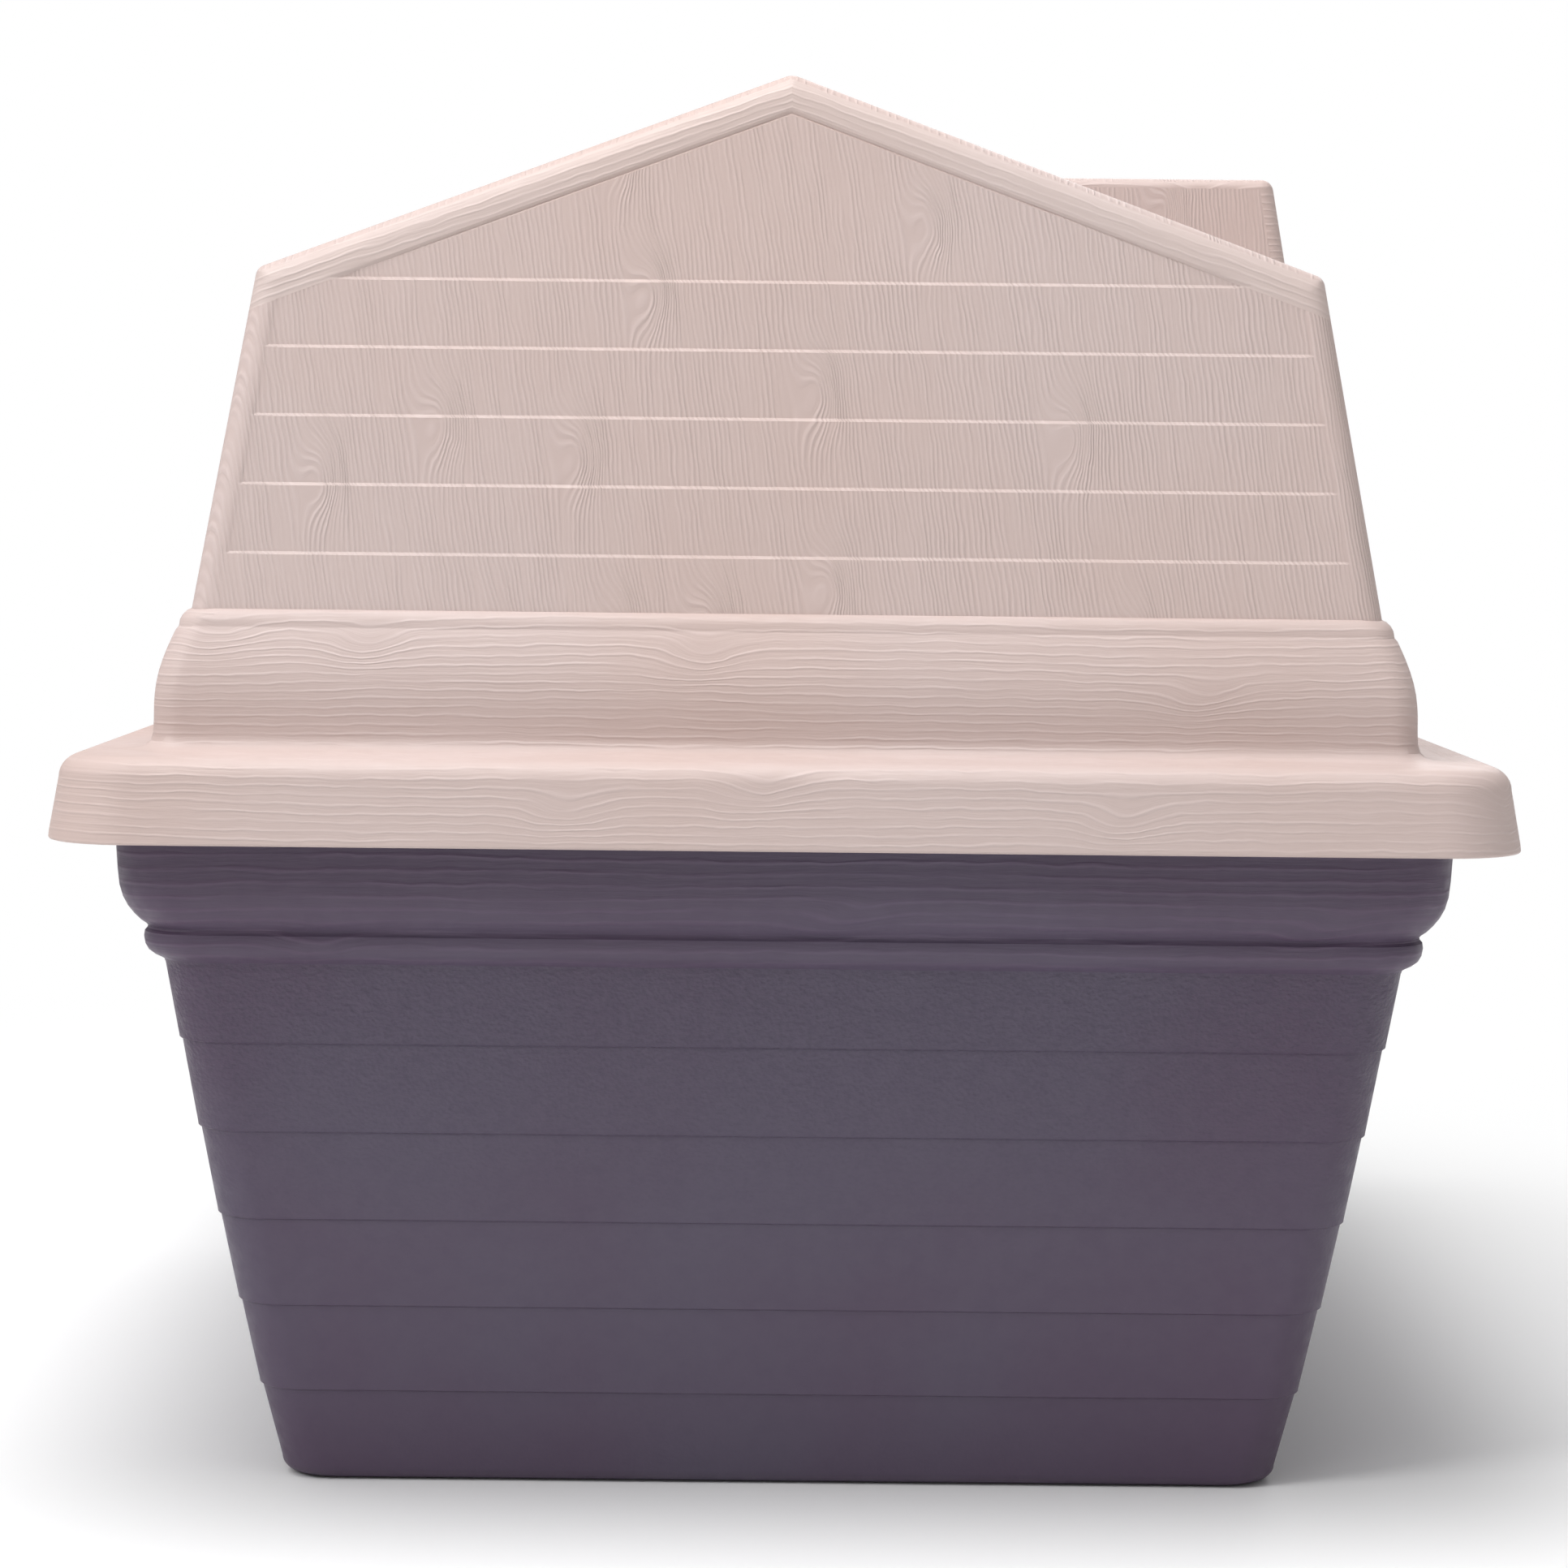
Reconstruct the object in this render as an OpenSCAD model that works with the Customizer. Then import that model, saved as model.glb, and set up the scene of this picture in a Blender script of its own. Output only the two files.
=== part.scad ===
/* [Overall size] */
// Width over the lower edge of the roof skirt
skirt_w = 756; // [720:2:800]
// Length over the lower edge of the roof skirt
skirt_l = 950; // [860:10:1060]
// Height of the roof skirt's lower edge above the ground
parting_z = 352; // [350:1:356]
// Height of the ridge above the ground
ridge_z = 752; // [740:2:770]
// Wall thickness of both mouldings
wall = 4; // [3:0.5:4.5]

/* [Base tub] */
// Inward lean of the tub's walls, in mm for each mm of height
tub_lean = 0.195; // [0.18:0.005:0.2]
// Height of one moulded lap board
board_h = 48; // [46:1:49]
// How far each board stands out over the one below
board_step = 1.4; // [0.8:0.1:1.8]
// Plan radius of the tub's corners at the ground
tub_corner = 24; // [20:1:32]

/* [Roof] */
// Height of the eaves above the ground
eave_z = 647; // [640:1:655]
// Inward lean of the upper walls, in mm for each mm of height
upper_lean = 0.168; // [0.16:0.002:0.18]
// Width of the chimney's top, from its outer face inwards
chimney_w = 132; // [110:2:140]
// Length of the chimney's top, along the ridge
chimney_l = 160; // [130:5:180]
// Height of the chimney's top above the ground
chimney_z = 724; // [715:1:735]

/* [Doorway] */
// Clear width of the doorway
door_w = 300; // [260:10:320]
// Height of the sill above the ground
sill_z = 100; // [90:2:120]
// Height of the lintel above the ground
lintel_z = 540; // [520:2:544]
// How far the casing stands out from the walls
casing_out = 10; // [6:1:12]

/* [Fittings] */
// Travel of the vent slider
vent_travel = 7; // [5:0.5:7]
// Radius of the thumb-screw knobs
knob_r = 12; // [10:0.5:12.5]
// Radius of the floor's drain hole
drain_r = 14; // [10:0.5:16]

/* [Hidden] */

corner_steps = 6;
round_fn = 32;
bore_fn = 48;
gap = 0.3;
eps = 0.01;

slate = [0.33, 0.31, 0.39];
blush = [0.86, 0.79, 0.75];
dark_slate = [0.25, 0.24, 0.30];

// Heights of the tub's mouldings, from the ground up
bead_z = parting_z - 64;
groove_z = parting_z - 46;
band_z = parting_z - 26;
rim_z = parting_z + 40;
lip_under_z = rim_z - 4;
// Insets are measured inwards from the skirt's lower edge
tub_inset_0 = 109.5;
bead_inset = 46;
groove_inset = 44.7;
band_inset = 33;
band_lean = 0.03;
lip_inset = 14;
parting_inset = band_inset - band_lean * (parting_z - band_z);

// Heights and insets of the roof's skirt, flange and cove
skirt_top_z = parting_z + 32;
flange_z = parting_z + 44;
cove_z = parting_z + 50;
shoulder_z = parting_z + 79;
house_z = parting_z + 117;
skirt_top_inset = 5.4;
flange_inset = 18;
flange_inner_inset = 44;
cove_inset = 50.3;
shoulder_inset = 51.4;
house_inset = 68.2;
flange_corner = 46;
cove_corner = 16;
house_corner = 12;
eave_corner = 10;
ridge_half = 3;
under_flange_z = rim_z + gap;

eave_inset = house_inset + upper_lean * (eave_z - house_z);
ridge_inset = house_inset + upper_lean * (ridge_z - house_z);

// Chimney stack on the left wall, seen from the door
stack_lean = 0.167;
stack_end_lean = 0.087;
stack_top_x = 292;
stack_y = -25;
stack_foot_z = flange_z - 1;
stack_corner = 9;

// Doorway
jamb = 8;
door_corner = 20;
door_head_corner = 6;
casing_w = 30;
casing_rise = 5;
door_x = door_w / 2;
flap_y = -skirt_l / 2 + 90;
tunnel_back_y = flap_y + 20;
rod_z = lintel_z - 10;
rod_r = 3;
barrel_r = 6;
flap_x = door_x - 8;
flap_t = 8;
flap_corner = 14;
flap_bottom_z = sill_z + 4;
trim_screw_r = 2;
trim_screw_x = door_x + jamb + 11;

// Thumb screws on the flange
screw_x = skirt_w / 2 - 32.8;
screw_front_y = -290;
screw_rear_y = 110;
screw_r = 3;
insert_r = 5;
boss_r = 9;
knob_h = 12;
stud_grip = 11;
stud_reach = 13;
boss_top_z = flange_z + 3;

// Vent in the chimney's outer face
vent_y = stack_y;
vent_z = 636;
vent_w = 108;
vent_h = 44;
slot_pitch = 14;
slot_w = 7;
slots = 7;

drain_x = 170;
drain_y = 240;

// ---- Profiles: lists of [height, inset, corner radius] ----

function tub_inset(z) = tub_inset_0 - tub_lean * z;
function tub_radius(z) = tub_corner + z / parting_z * 6;

// A quarter-ellipse from [z0, i0], where it runs level, to [z1, i1], where it stands upright
function bulge(z0, i0, z1, i1, n) =
    [for (k = [0 : n]) [z1 - (z1 - z0) * cos(90 * k / n), i0 + (i1 - i0) * sin(90 * k / n)]];
// A quarter-ellipse from [z0, i0], where it stands upright, to [z1, i1], where it runs level
function shoulder(z0, i0, z1, i1, n) =
    [for (k = [0 : n]) [z0 + (z1 - z0) * sin(90 * k / n), i1 - (i1 - i0) * cos(90 * k / n)]];

function boards() =
    [for (z = [board_h + 3.5 : board_h : bead_z - 20])
        each [[z - 0.5, tub_inset(z) + board_step / 2], [z + 0.5, tub_inset(z) - board_step / 2]]];

tub_outline = concat(
    bulge(0, tub_inset(0) + 8, 9, tub_inset(9), 4),
    boards(),
    [[bead_z - 1, tub_inset(bead_z)]],
    bulge(bead_z, tub_inset(bead_z) - 2, bead_z + 9, bead_inset, 3),
    bulge(groove_z, groove_inset, band_z, band_inset, 5),
    [[lip_under_z, band_inset - band_lean * (lip_under_z - band_z)]]);
lip_outline = [[lip_under_z - 10, band_inset], [lip_under_z, lip_inset], [rim_z, lip_inset]];
tub_inner = [[wall, tub_inset(0) + 22], [10, tub_inset(10) + wall + 4], [20, tub_inset(20) + wall + 0.5],
             [bead_z - 4, tub_inset(bead_z - 4) + wall], [bead_z + 8, 53], [groove_z - 2, 49.5],
             [band_z - 4, 40], [band_z + 4, 37.2], [rim_z + 1, 35.5]];

skirt_outline = concat(
    [[parting_z, 0]],
    shoulder(skirt_top_z, skirt_top_inset, flange_z, flange_inset, 4),
    [[flange_z + 2.7, flange_inner_inset], [cove_z, cove_inset]],
    shoulder(shoulder_z, shoulder_inset, house_z, house_inset, 6),
    [[eave_z, eave_inset]]);
skirt_inner = [[parting_z - 1, wall], [skirt_top_z + 2, 10.4], [under_flange_z, 11.5],
               [under_flange_z, cove_inset + wall + 0.4], [shoulder_z + 2, shoulder_inset + wall + 0.3],
               [shoulder_z + 19, 60], [house_z - 5, 68], [house_z + 2, house_inset + wall + 0.6],
               [eave_z - wall * 0.7, eave_inset + wall + 0.2]];

function skirt_radius(z) =
    z < flange_z ? flange_corner
    : z < shoulder_z ? flange_corner - (flange_corner - cove_corner) * (z - flange_z) / (shoulder_z - flange_z)
    : z < house_z ? cove_corner - (cove_corner - house_corner) * (z - shoulder_z) / (house_z - shoulder_z)
    : house_corner - (house_corner - eave_corner) * (z - house_z) / (eave_z - house_z);

// ---- Lofts ----

function ring(hx, hy, r, z) = [for (q = [0 : 3], k = [0 : corner_steps])
    let (a = 90 * q + 90 * k / corner_steps,
         sx = (q == 0 || q == 3) ? 1 : -1,
         sy = q < 2 ? 1 : -1)
    [sx * (hx - r) + r * cos(a), sy * (hy - r) + r * sin(a), z]];

// A solid through a stack of rounded rectangles
module loft(rings) {
    n = len(rings[0]);
    m = len(rings);
    points = [for (r = rings) each r];
    sides = [for (i = [0 : m - 2], k = [0 : n - 1])
        [i * n + k, (i + 1) * n + k, (i + 1) * n + (k + 1) % n, i * n + (k + 1) % n]];
    polyhedron(points, concat(sides, [[for (k = [0 : n - 1]) k]],
                              [[for (k = [n - 1 : -1 : 0]) (m - 1) * n + k]]), 4);
}

function outline_rings(outline) = [for (p = outline)
    ring(skirt_w / 2 - p[1], skirt_l / 2 - p[1], skirt_radius(p[0]), p[0])];
function tub_rings(outline) = [for (p = outline)
    ring(skirt_w / 2 - p[1], skirt_l / 2 - p[1], tub_radius(p[0]), p[0])];
// The last ring of a roof is the narrow one along its ridge
function roof_rings(outline, in) = concat(outline_rings(outline),
    [ring(ridge_half, skirt_l / 2 - ridge_inset - in, ridge_half - 0.5, ridge_z - in * 1.07)]);

// The chimney stack, which leans in all round so that it draws from the mould
module stack(in, foot_z) {
    drop = chimney_z - foot_z;
    outer_x = -stack_top_x + in;
    inner_x = -stack_top_x + chimney_w - in;
    half_l = chimney_l / 2 - in;
    hull() {
        translate([0, 0, chimney_z - in - 1]) linear_extrude(1)
            stack_plan(outer_x, inner_x, half_l);
        translate([0, 0, foot_z]) linear_extrude(1)
            stack_plan(outer_x - stack_lean * drop, inner_x + 20, half_l + stack_end_lean * drop);
    }
}

module stack_plan(x0, x1, half_l) {
    hull() for (x = [x0 + stack_corner, x1 - stack_corner], sy = [-1, 1])
        translate([x, stack_y + sy * (half_l - stack_corner)]) circle(stack_corner, $fn = round_fn);
}

// Places its children on the chimney's outer face: Z outwards, X up the face
module on_stack_face() {
    translate([-stack_top_x - stack_lean * (chimney_z - vent_z), vent_y, vent_z])
        rotate([0, -90 + atan(stack_lean), 0]) children();
}

module slab(x, y, z0, z1) {
    translate([-x / 2, -y / 2, z0]) cube([x, y, z1 - z0]);
}

// The doorway's outline, wider by grow on each side, pushed through the front along Y
module doorway(grow, y0, y1) {
    translate([0, y1, 0]) rotate([90, 0, 0]) linear_extrude(y1 - y0)
        upright_panel(door_x + grow, sill_z - grow, lintel_z + grow, door_corner + grow, door_head_corner + grow);
}

// An upright panel's outline with round corners at its foot and its head
module upright_panel(half_x, z0, z1, foot_r, head_r) {
    hull() for (sx = [-1, 1]) {
        translate([sx * (half_x - foot_r), z0 + foot_r]) circle(foot_r, $fn = round_fn);
        translate([sx * (half_x - head_r), z1 - head_r]) circle(head_r, $fn = round_fn);
    }
}

module at_screws() {
    for (sx = [-1, 1], y = [screw_front_y, screw_rear_y]) translate([sx * screw_x, y, 0]) children();
}

// ---- Base ----

module base_shell() color(slate) difference() {
    union() {
        difference() {
            union() {
                loft(tub_rings(tub_outline));
                loft(outline_rings(lip_outline));
            }
            loft(tub_rings(tub_inner));
        }
        floor_ribs();
        at_screws() translate([0, 0, rim_z - 15]) cylinder(h = 15, r = boss_r, $fn = bore_fn);
    }
    doorway(jamb + gap, -skirt_l, -skirt_l / 4);
    trim_holes(false);
    at_screws() translate([0, 0, rim_z - 16]) cylinder(h = 20, r = insert_r, $fn = bore_fn);
    translate([drain_x, drain_y, -1]) cylinder(h = wall + 4, r = drain_r, $fn = bore_fn);
}

module floor_ribs() {
    for (x = [-200 : 50 : 200]) translate([x - 4, -300, wall - eps]) cube([8, 480, 1.5 + eps]);
}

module rim_inserts() color("goldenrod") at_screws() translate([0, 0, rim_z - 15]) difference() {
    cylinder(h = 15, r = insert_r, $fn = bore_fn);
    translate([0, 0, -1]) cylinder(h = 17, r = screw_r + 0.08, $fn = bore_fn);
}

module drain_plug() color("dimgray") translate([drain_x, drain_y, 0]) {
    translate([0, 0, 0.5]) cylinder(h = wall + 0.6, r = drain_r - 0.3, $fn = bore_fn);
    translate([0, 0, wall + 0.3]) cylinder(h = 3, r = drain_r + 5, $fn = bore_fn);
    translate([0, 0, wall + 9]) rotate([90, 0, 0]) rotate_extrude($fn = round_fn)
        translate([7, 0]) circle(2.2, $fn = 16);
}

// ---- Doorway ----

// The front wall's outline in side view, pushed forwards by out and up by rise
function front_path(outline, out, rise) =
    [for (p = outline) [-skirt_l / 2 + p[1] - out, p[0] + rise]];

// A block across the doorway between two front outlines
module front_band(outer, inner, half_x) {
    translate([-half_x, 0, 0]) rotate([90, 0, 90]) linear_extrude(2 * half_x)
        polygon(concat(outer, [for (k = [len(inner) - 1 : -1 : 0]) inner[k]]));
}

// Casing that follows the wall, and the tunnel behind it
module door_trim(outer, inner) {
    difference() {
        union() {
            intersection() {
                front_band(outer, inner, door_x + casing_w);
                doorway(casing_w, -skirt_l, 0);
            }
            intersection() {
                front_band(outer, [for (p = outer) [tunnel_back_y, p[1]]], door_x + jamb);
                doorway(jamb, -skirt_l, 0);
            }
        }
        doorway(0, -skirt_l, 0);
    }
}

lower_wall = [for (p = tub_outline) if (p[0] > 50 && p[0] < parting_z) p];
lower_face = [[lower_wall[0][0], tub_inset(lower_wall[0][0])], [bead_z - 6, tub_inset(bead_z - 6)],
              [bead_z + 9, bead_inset], [groove_z, groove_inset], [band_z - 4, band_inset],
              [parting_z - gap, parting_inset]];
upper_wall = [for (p = skirt_outline) if (p[0] > parting_z && p[0] < eave_z + 1) p];

module door_trim_lower() color(dark_slate) difference() {
    door_trim(front_path(lower_face, casing_out, 0),
              front_path(concat(lower_wall, [[parting_z - gap, parting_inset]]), gap, 0));
    trim_holes(false);
    translate([-40.2, flap_y - 3.2, sill_z - 3.2]) cube([80.4, 6.4, 10]);
}

// The upper casing is let into the skirt, so it ends flush with the skirt's edge
upper_face = [for (p = upper_wall) [p[0], max(p[1], casing_out)]];

module door_trim_upper() color(dark_slate) difference() {
    door_trim(concat([[-skirt_l / 2, parting_z]], front_path(upper_face, casing_out, casing_rise)),
              concat([[-skirt_l / 2 + casing_out - gap, parting_z]], front_path(upper_face, gap, gap)));
    trim_holes(true);
    for (sx = [-1, 1]) translate([sx * (door_x + 3.5), flap_y, rod_z]) rotate([0, 90, 0])
        cylinder(h = 8, r = rod_r, center = true, $fn = bore_fn);
}

// Places children on the casing's face: Z outwards
module at_trim_screws(upper) {
    heights = upper ? [house_z + 22, lintel_z - 14] : [sill_z + 20, bead_z - 30];
    turn = upper ? -atan(upper_lean) : atan(tub_lean);
    for (sx = [-1, 1], z = heights) {
        inset = upper ? house_inset + upper_lean * (z - casing_rise - house_z) : tub_inset(z);
        translate([sx * trim_screw_x, -skirt_l / 2 + inset - casing_out, z]) rotate([90 + turn, 0, 0]) children();
    }
}

module trim_holes(upper) {
    at_trim_screws(upper) translate([0, 0, -casing_out - 9]) cylinder(h = 40, r = trim_screw_r, $fn = bore_fn);
}

module trim_screws(upper) color("silver") at_trim_screws(upper) {
    translate([0, 0, -casing_out - 7]) cylinder(h = casing_out + 7, r = trim_screw_r, $fn = bore_fn);
    cylinder(h = 2, r = 4.5, $fn = bore_fn);
}

module sill_magnet() color("black")
    translate([-40, flap_y - 3, sill_z - 3]) cube([80, 6, 2.8]);

module hinge_rod() color("silver") translate([0, flap_y, rod_z]) rotate([0, 90, 0])
    cylinder(h = 2 * door_x + 14, r = rod_r, center = true, $fn = bore_fn);

module flap_frame() color(dark_slate) difference() {
    union() {
        translate([0, flap_y + flap_t / 2, 0]) rotate([90, 0, 0]) linear_extrude(flap_t)
            upright_panel(flap_x, flap_bottom_z, rod_z, flap_corner, 1);
        translate([0, flap_y, rod_z]) rotate([0, 90, 0])
            cylinder(h = 2 * flap_x, r = barrel_r, center = true, $fn = bore_fn);
    }
    translate([0, flap_y, rod_z]) rotate([0, 90, 0])
        cylinder(h = 2 * flap_x + 2, r = rod_r + 0.05, center = true, $fn = bore_fn);
    window_block(0, -flap_t, flap_t);
    window_block(5.2, 0.8, flap_t);
    translate([-40.2, flap_y - 2.7, flap_bottom_z - 1]) cube([80.4, 5.4, 11.2]);
}

// A block as large as the flap's window, grown sideways, between two depths from the flap's mid-plane
module window_block(grow, y0, y1) {
    inset = 26;
    translate([-flap_x + inset - grow, flap_y + y0, flap_bottom_z + inset - grow])
        cube([2 * (flap_x - inset + grow), y1 - y0, rod_z - 12 - flap_bottom_z - 2 * inset + 2 * grow]);
}

module flap_window() color([0.8, 0.85, 0.88, 0.5]) window_block(5, 1, 4);

module flap_magnet() color("black") translate([-40, flap_y - 2.5, flap_bottom_z]) cube([80, 5, 10]);

// ---- Roof ----

module roof_shell() color(blush) difference() {
    union() {
        loft(roof_rings(skirt_outline, 0));
        stack(0, stack_foot_z);
        at_screws() translate([0, 0, under_flange_z])
            cylinder(h = boss_top_z - under_flange_z, r = knob_r + 1, $fn = bore_fn);
    }
    loft(roof_rings(skirt_inner, wall));
    stack(wall, stack_foot_z + 10);
    doorway(jamb + gap, -skirt_l, -skirt_l / 4);
    translate([-door_x - casing_w - gap, -skirt_l / 2 - 1, parting_z - 1])
        cube([2 * (door_x + casing_w + gap), casing_out + 1, flange_z - parting_z + 4]);
    trim_holes(true);
    at_screws() translate([0, 0, rim_z - 5]) cylinder(h = 20, r = screw_r + 1, $fn = bore_fn);
    on_stack_face() slab(vent_h, vent_w, -wall * 3, 5);
    on_stack_face() at_vent_screws() cylinder(h = 30, r = 1.5, center = true, $fn = bore_fn);
}

module at_vent_screws() {
    for (sx = [-1, 1], sy = [-1, 1]) translate([sx * (vent_h / 2 - 8), sy * (vent_w / 2 + 6), 0]) children();
}

module vent_slots() {
    for (k = [0 : slots - 1]) translate([0, (k - (slots - 1) / 2) * slot_pitch, 0])
        slab(30, slot_w, -20, 20);
}

module vent_grille() color(dark_slate) on_stack_face() difference() {
    union() {
        slab(vent_h + 16, vent_w + 24, gap, 3.3);
        slab(vent_h - 0.6, vent_w - 0.6, -7, gap + eps);
    }
    vent_slots();
    slab(vent_h - 5, vent_w - 3, -4.3, -1.7);
    slab(vent_h - 12, vent_w - 8, -8, -4.2);
    at_vent_screws() cylinder(h = 30, r = 1.5, center = true, $fn = bore_fn);
}

module vent_screws() color("silver") on_stack_face() at_vent_screws() {
    translate([0, 0, -4]) cylinder(h = 8, r = 1.5, $fn = bore_fn);
    translate([0, 0, 3.3]) cylinder(h = 1.6, r = 3, $fn = bore_fn);
}

module vent_slider() color(slate) on_stack_face() {
    difference() {
        translate([0, -vent_travel / 2 + 0.5, 0]) slab(vent_h - 6, vent_w - vent_travel - 6, -4, -2);
        vent_slots();
    }
    translate([0, -slot_pitch / 2, 0]) slab(12, 5, -14, -2);
}

// A plastic knob with six finger hollows, moulded round the stud's upper end
module thumb_knob(sx, y) color(dark_slate) translate([sx * screw_x, y, boss_top_z]) difference() {
    union() {
        translate([0, 0, gap]) cylinder(h = 4, r = 9, $fn = bore_fn);
        difference() {
            translate([0, 0, 4]) cylinder(h = knob_h, r = knob_r, $fn = bore_fn);
            for (a = [0 : 60 : 300]) rotate(a) translate([knob_r + 3, 0, 0]) cylinder(h = 20, r = 5.5, $fn = round_fn);
        }
    }
    translate([0, 0, -1]) cylinder(h = stud_grip + 1, r = screw_r, $fn = bore_fn);
}

module thumb_stud(sx, y) color("silver") translate([sx * screw_x, y, rim_z - stud_reach])
    cylinder(h = boss_top_z + stud_grip - rim_z + stud_reach, r = screw_r, $fn = bore_fn);

base_shell();
rim_inserts();
drain_plug();
door_trim_lower();
trim_screws(false);  // trim_screws_lower
sill_magnet();
roof_shell();
door_trim_upper();
trim_screws(true);  // trim_screws_upper
hinge_rod();
flap_frame();
flap_window();
flap_magnet();
vent_grille();
vent_screws();
vent_slider();
thumb_knob(-1, screw_front_y);  // thumb_knob_left_front
thumb_knob(-1, screw_rear_y);  // thumb_knob_left_rear
thumb_knob(1, screw_front_y);  // thumb_knob_right_front
thumb_knob(1, screw_rear_y);  // thumb_knob_right_rear
thumb_stud(-1, screw_front_y);  // thumb_stud_left_front
thumb_stud(-1, screw_rear_y);  // thumb_stud_left_rear
thumb_stud(1, screw_front_y);  // thumb_stud_right_front
thumb_stud(1, screw_rear_y);  // thumb_stud_right_rear
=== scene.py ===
import math

import bmesh
import bpy
from mathutils import Matrix, Vector


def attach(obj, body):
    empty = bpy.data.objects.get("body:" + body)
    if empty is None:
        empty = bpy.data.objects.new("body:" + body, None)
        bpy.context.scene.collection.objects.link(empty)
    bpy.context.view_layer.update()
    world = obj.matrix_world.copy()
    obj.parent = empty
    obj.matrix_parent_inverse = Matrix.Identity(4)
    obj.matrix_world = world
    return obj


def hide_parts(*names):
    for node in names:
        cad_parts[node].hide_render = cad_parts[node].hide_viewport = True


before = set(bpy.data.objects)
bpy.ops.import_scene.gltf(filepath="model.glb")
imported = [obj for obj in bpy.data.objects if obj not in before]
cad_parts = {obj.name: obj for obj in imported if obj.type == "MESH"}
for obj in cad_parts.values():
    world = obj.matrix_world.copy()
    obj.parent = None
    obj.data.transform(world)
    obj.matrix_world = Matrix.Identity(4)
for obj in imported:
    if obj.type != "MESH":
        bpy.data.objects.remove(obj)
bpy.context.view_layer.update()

MM = 0.001
HALF_W, HALF_L = 378.0, 475.0   # half the skirt's lower edge, across and along
RIDGE_Z = 752.0
EAVE_Z = 647.0
HOUSE_Z = 469.0                 # foot of the gabled block
HOUSE_INSET = 68.2              # from the skirt's edge to the block's foot
WALL_LEAN = 0.168
ROOF_PITCH = math.atan2(RIDGE_Z - EAVE_Z, 280.0)
RAKE_DEEP = 21.5                # height of the rake board on the gable
POST_W = 13.5                   # width of the plain post at each corner of the walls
LAP_ZS = [498.0, 533.8, 569.6, 605.4, 641.2]
LAP_DEEP = 1.2
LAP_START, LAP_MIDDLE, LAP_END = -0.5, 0.3, 1.1   # a lap's edge, in steps across its line
BOARD_FACE = 34.2               # height of a board's face between two laps
SLOPE_LAPS = [70.0, 140.0, 210.0]   # distance of the slopes' laps from the ridge line
GAP = 0.3                       # clearance between parts that fit together
STACK_TOP, STACK_X, STACK_Y = 724.0, -292.0, -25.0
STACK_LEAN = 0.167
VENT_Z = 636.0
SLOT_PITCH, SLOT_W, SLOT_L = 14.0, 7.0, 30.0   # the vent's slots
PARTING_Z, RIM_Z = 352.0, 392.0
TUB_LAPS = (51.5, 99.5, 147.5, 195.5, 243.5)
TUB_INSET, TUB_LEAN = 109.5, 0.195
DOOR_X, SILL_Z, LINTEL_Z = 150.0, 100.0, 540.0
DOOR_CUT = (-600.0, -237.0)     # how far the doorway's cut reaches along the house
JAMB, CASING_W = 8.0, 30.0
FLAP_Y, ROD_Z = -385.0, 530.0
BOSS_X, BOSS_YS, BOSS_TOP = 345.2, (-290.0, 110.0), 399.0
COLLAR_Z = 4.05                 # height of a knob's round collar, below its lobes
DRAIN = (170.0, 240.0)


# ---- view

def rear_camera():
    data = bpy.data.cameras.new("rear_camera")
    data.sensor_width = 36.0
    data.lens = 86.65
    data.clip_end = 60.0
    camera = bpy.data.objects.new("rear_camera", data)
    bpy.context.scene.collection.objects.link(camera)
    turn = (Matrix.Rotation(math.pi, 4, "Z") @ Matrix.Rotation(math.radians(90.0 - 4.43), 4, "X")
            @ Matrix.Rotation(0.0102, 4, "Z"))
    camera.matrix_world = Matrix.Translation((0.0006, HALF_L * MM + 1.8866, 0.5326)) @ turn
    bpy.context.scene.camera = camera


def soft_light(name, place, aim, size, power):
    data = bpy.data.lights.new(name, "AREA")
    data.shape = "DISK"
    data.size = size
    data.energy = power
    lamp = bpy.data.objects.new(name, data)
    bpy.context.scene.collection.objects.link(lamp)
    lamp.location = place
    lamp.rotation_euler = (Vector(aim) - Vector(place)).to_track_quat("-Z", "Y").to_euler()


def pale_room():
    """An even light from all round, and plain white where the camera looks past the floor."""
    world = bpy.data.worlds.new("pale_room")
    bpy.context.scene.world = world
    world.use_nodes = True
    sky = world.node_tree.nodes["Background"]
    sky.inputs["Color"].default_value = (1.0, 1.0, 1.0, 1.0)
    sky.inputs["Strength"].default_value = 0.35
    seen = world.node_tree.nodes.new("ShaderNodeBackground")
    seen.inputs["Strength"].default_value = 1.0
    seen.inputs["Color"].default_value = (1.0, 1.0, 1.0, 1.0)
    path = world.node_tree.nodes.new("ShaderNodeLightPath")
    either = world.node_tree.nodes.new("ShaderNodeMixShader")
    links = world.node_tree.links
    links.new(path.outputs["Is Camera Ray"], either.inputs[0])
    links.new(sky.outputs[0], either.inputs[1])
    links.new(seen.outputs[0], either.inputs[2])
    links.new(either.outputs[0], world.node_tree.nodes["World Output"].inputs[0])


def studio_lights():
    soft_light("key", (2.5, 2.3, 2.5), (0.0, 0.3, 0.45), 1.2, 39.0)
    soft_light("top", (0.3, 0.5, 2.4), (0.0, 0.1, 0.5), 1.6, 29.0)
    soft_light("front_fill", (-1.0, -3.0, 2.4), (0.0, 0.0, 0.4), 2.2, 26.0)
    data = bpy.data.lights.new("overhead", "SUN")
    data.energy = 1.10
    data.angle = math.radians(50.0)
    lamp = bpy.data.objects.new("overhead", data)
    bpy.context.scene.collection.objects.link(lamp)
    lamp.rotation_euler = (-Vector((0.7, 0.6, 3.6))).to_track_quat("-Z", "Y").to_euler()
    bpy.context.scene.view_settings.view_transform = "Standard"


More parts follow.
